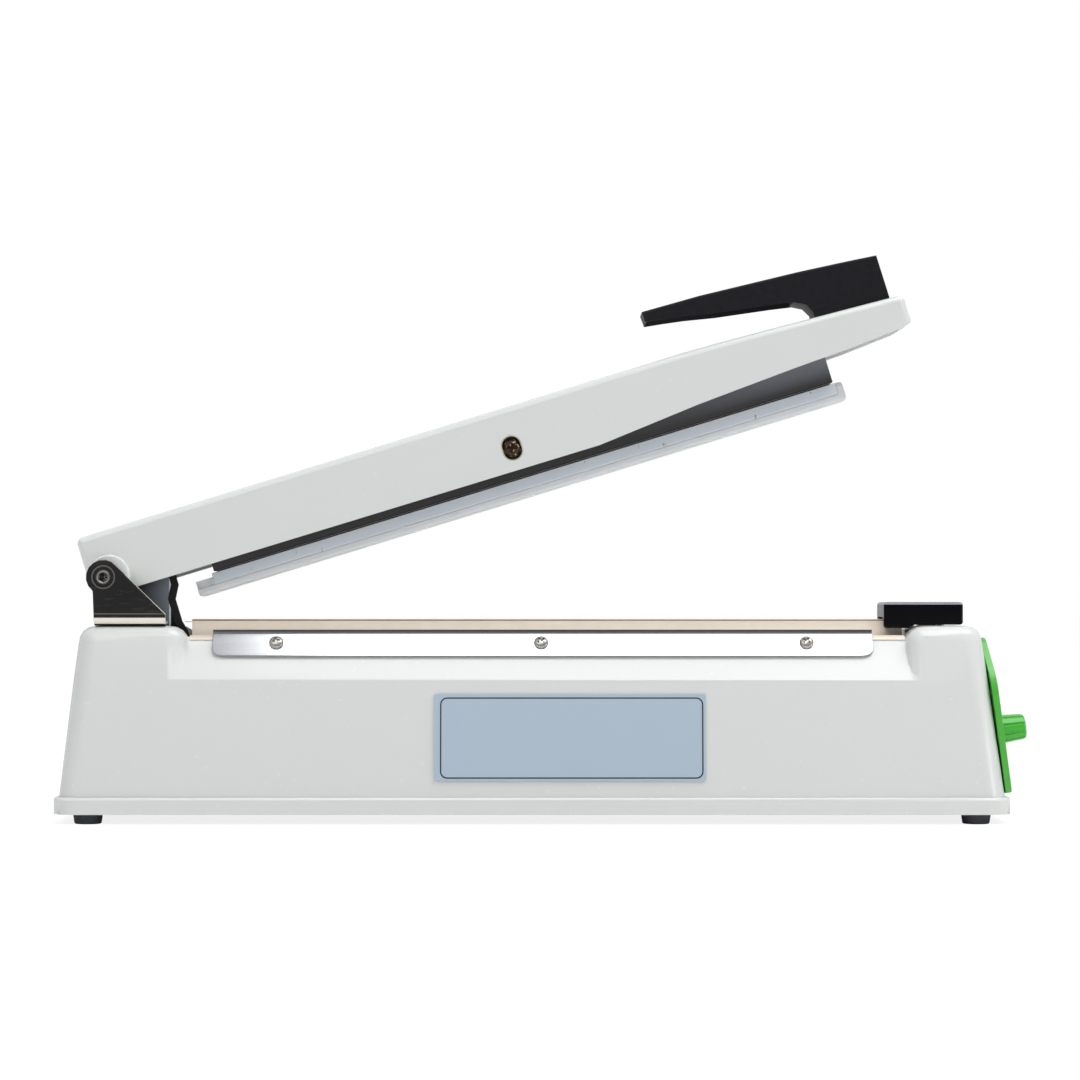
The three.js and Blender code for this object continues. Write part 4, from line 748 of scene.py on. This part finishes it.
for sign in (-1, 1):
    boss = turned("boss", boss_profile, arm_enamel, 72)
    bpy.ops.object.mode_set(mode="EDIT")
    pick("VERT", lambda p, n: math.hypot(p.x, p.y) > 9.8 and p.z > 20
         and round(math.degrees(math.atan2(p.y, p.x)) / 5) % 2)
    bpy.ops.transform.resize(value=(0.95, 0.95, 1), center_override=(0, 0, 0))
    bpy.ops.object.mode_set(mode="OBJECT")
    put(boss, (2.2, 0, 0), (-90 * sign, 0, 0))
    work_on(arm, boss)
    bpy.ops.object.join()
round_edges(arm, 0.25, 2, 60)
smooth(arm)
hang(arm)
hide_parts("arm_housing")


# Handle. Black moulded nylon with a fine spark-eroded grain, hollow below, screwed to the arm
# from inside.
nylon = surface("black_nylon", tone(17, 16, 21), tone(30, 29, 35), 300,
                (0.42, 0.57), 700, Specular_IOR_Level=0.2)
grain(nylon, noise(nylon, 1800), 0.00004)
grip_top = [(275, 45.6), (303, 45), (351, 42.1), (375, 40.1), (385.5, 39.2), (387.5, 38.9)]
grip_under = [(275, 40.1), (294.2, 37.1), (308.7, 34.2), (334.8, 30.2), (346.5, 28), (349.6, 26.4),
              (351.4, 23.4), (387.5, 23.4)]
foot_line = [(351.4, 19.5), (387.5, 18.05)]
grip_stations = [275, 284, 294.2, 303, 308.7, 320, 334.8, 346.5, 349.6, 351.4, 362, 375, 387.5]
grip_start, grip_end, grip_floor, grip_roof, grip_half = 275, 387.5, 20, 46, 14
grip = bar("moulded_grip", (grip_start, -grip_half, grip_floor), (grip_end, grip_half, grip_roof), nylon)
bpy.ops.object.mode_set(mode="EDIT")
slice_at(grip_stations[1:-1])
contour(grip_stations, grip_roof, grip_top, lambda p: p.z > 36)
contour(grip_stations, grip_floor, grip_under, lambda p: p.z < 36)
pick("FACE", lambda p, n: p.x > 351.4 and n.z < -0.8)
bpy.ops.mesh.extrude_region_move(TRANSFORM_OT_translate={"value": (0, 0, -0.0039)})
contour(grip_stations[9:], 19.5, foot_line, lambda p: p.z < 21)
pick("FACE", lambda p, n: p.x < 346 and n.z < -0.8)
bpy.ops.mesh.inset(thickness=0.0026, depth=0, use_boundary=True)
bpy.ops.transform.translate(value=(0, 0, 0.0028))
pick("EDGE", lambda p, d: abs(p.y) > 13.9 and p.z > 22 and d.y < 0.1
     and (d.x > 0.3 or p.x < 275.2 or p.x > 387.4))
bpy.ops.mesh.bevel(offset=0.0011, segments=3, profile=0.5, affect="EDGES")
bpy.ops.mesh.select_all(action="SELECT")
bpy.ops.mesh.normals_make_consistent(inside=False)
bpy.ops.object.mode_set(mode="OBJECT")
smooth(grip, 40)
hang(grip)
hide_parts("arm_handle")
for number in (1, 2):
    coat(f"handle_screw_{number}", zinc)


# Pressure bar. An aluminium bar with a clear grey silicone strip, in a dark steel channel that
# rocks on the yellow-passivated screw through the middle of the arm.
channel_steel = surface("dark_channel_steel", tone(62, 61, 62), tone(52, 51, 52), 60,
                        (0.3, 0.5), 200, (0.2, 1, 1), Metallic=0.3)
length, height = length_and_height(channel_steel)
# Painted light on the channel: a painted sheen, lighter towards its far end and its top, and a painted shade
# band along its bottom and over its end.
sheen_start, sheen_length, sheen_floor, sheen_height = 215, 110, -10, 9
sheen = ((length - sheen_start) / sheen_length).held() * ((height - sheen_floor) / sheen_height).held()
sheen_tone = channel_steel.blend(sheen, channel_steel.hue, tone(128, 131, 140))
shade_band_height, channel_end = -11.3, 351
painted_shade_band = (height < shade_band_height).most(length > channel_end)
colour(channel_steel, channel_steel.blend(painted_shade_band, sheen_tone, tone(26, 25, 29)))
channel = from_solid("folded_channel", "bar_carrier", "bar", channel_steel)
round_edges(channel, 0.3, 2)
smooth(channel)

aluminium = surface("bar_aluminium", tone(232, 240, 248), tone(222, 231, 241), 25,
                    (0.3, 0.45), 120, (0.1, 1, 1), Metallic=0.1)
length, height = length_and_height(aluminium)
tick = (noise(aluminium, 520, 1, (1, 0.06, 0.06)) > 0.7) * (noise(aluminium, 160, 2) > 0.5)
bright_edge = -12.9
scuffed = aluminium.blend(tick * 0.5, aluminium.hue, tone(90, 96, 112))
colour(aluminium, aluminium.blend(height > bright_edge, scuffed, tone(246, 248, 250)))
press = from_solid("drawn_bar", "pressure_bar", "bar", aluminium)
round_edges(press, 0.4, 2)
smooth(press)

silicone = surface("grey_silicone", tone(252, 254, 255), tone(245, 249, 253), 20, (0.38, 0.53), 300,
                   Coat_Weight=0.2, Coat_Roughness=0.2, Transmission_Weight=0.4, IOR=1.41)
strip = from_solid("silicone_press_strip", "silicone_strip", "bar", silicone)
round_edges(strip, 0.3, 2)
smooth(strip)

passivated = surface("yellow_passivated_steel", tone(74, 60, 42), tone(34, 28, 22), 300,
                     (0.25, 0.45), 400, Metallic=0.6)
glitter = (noise(passivated, 620, 1) * 6 - 3.5).held()
overlay(passivated, glitter, tone(250, 214, 150))
centre_screw = pan_screw("centre_screw", 4.1, 3, 2.4, 35.3, passivated)
put(centre_screw, (screw_length, -17.4, screw_height), (90, 25, 0))
hang(centre_screw)
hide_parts("bar_pivot_screw")
coat("bar_pivot_nut", zinc)
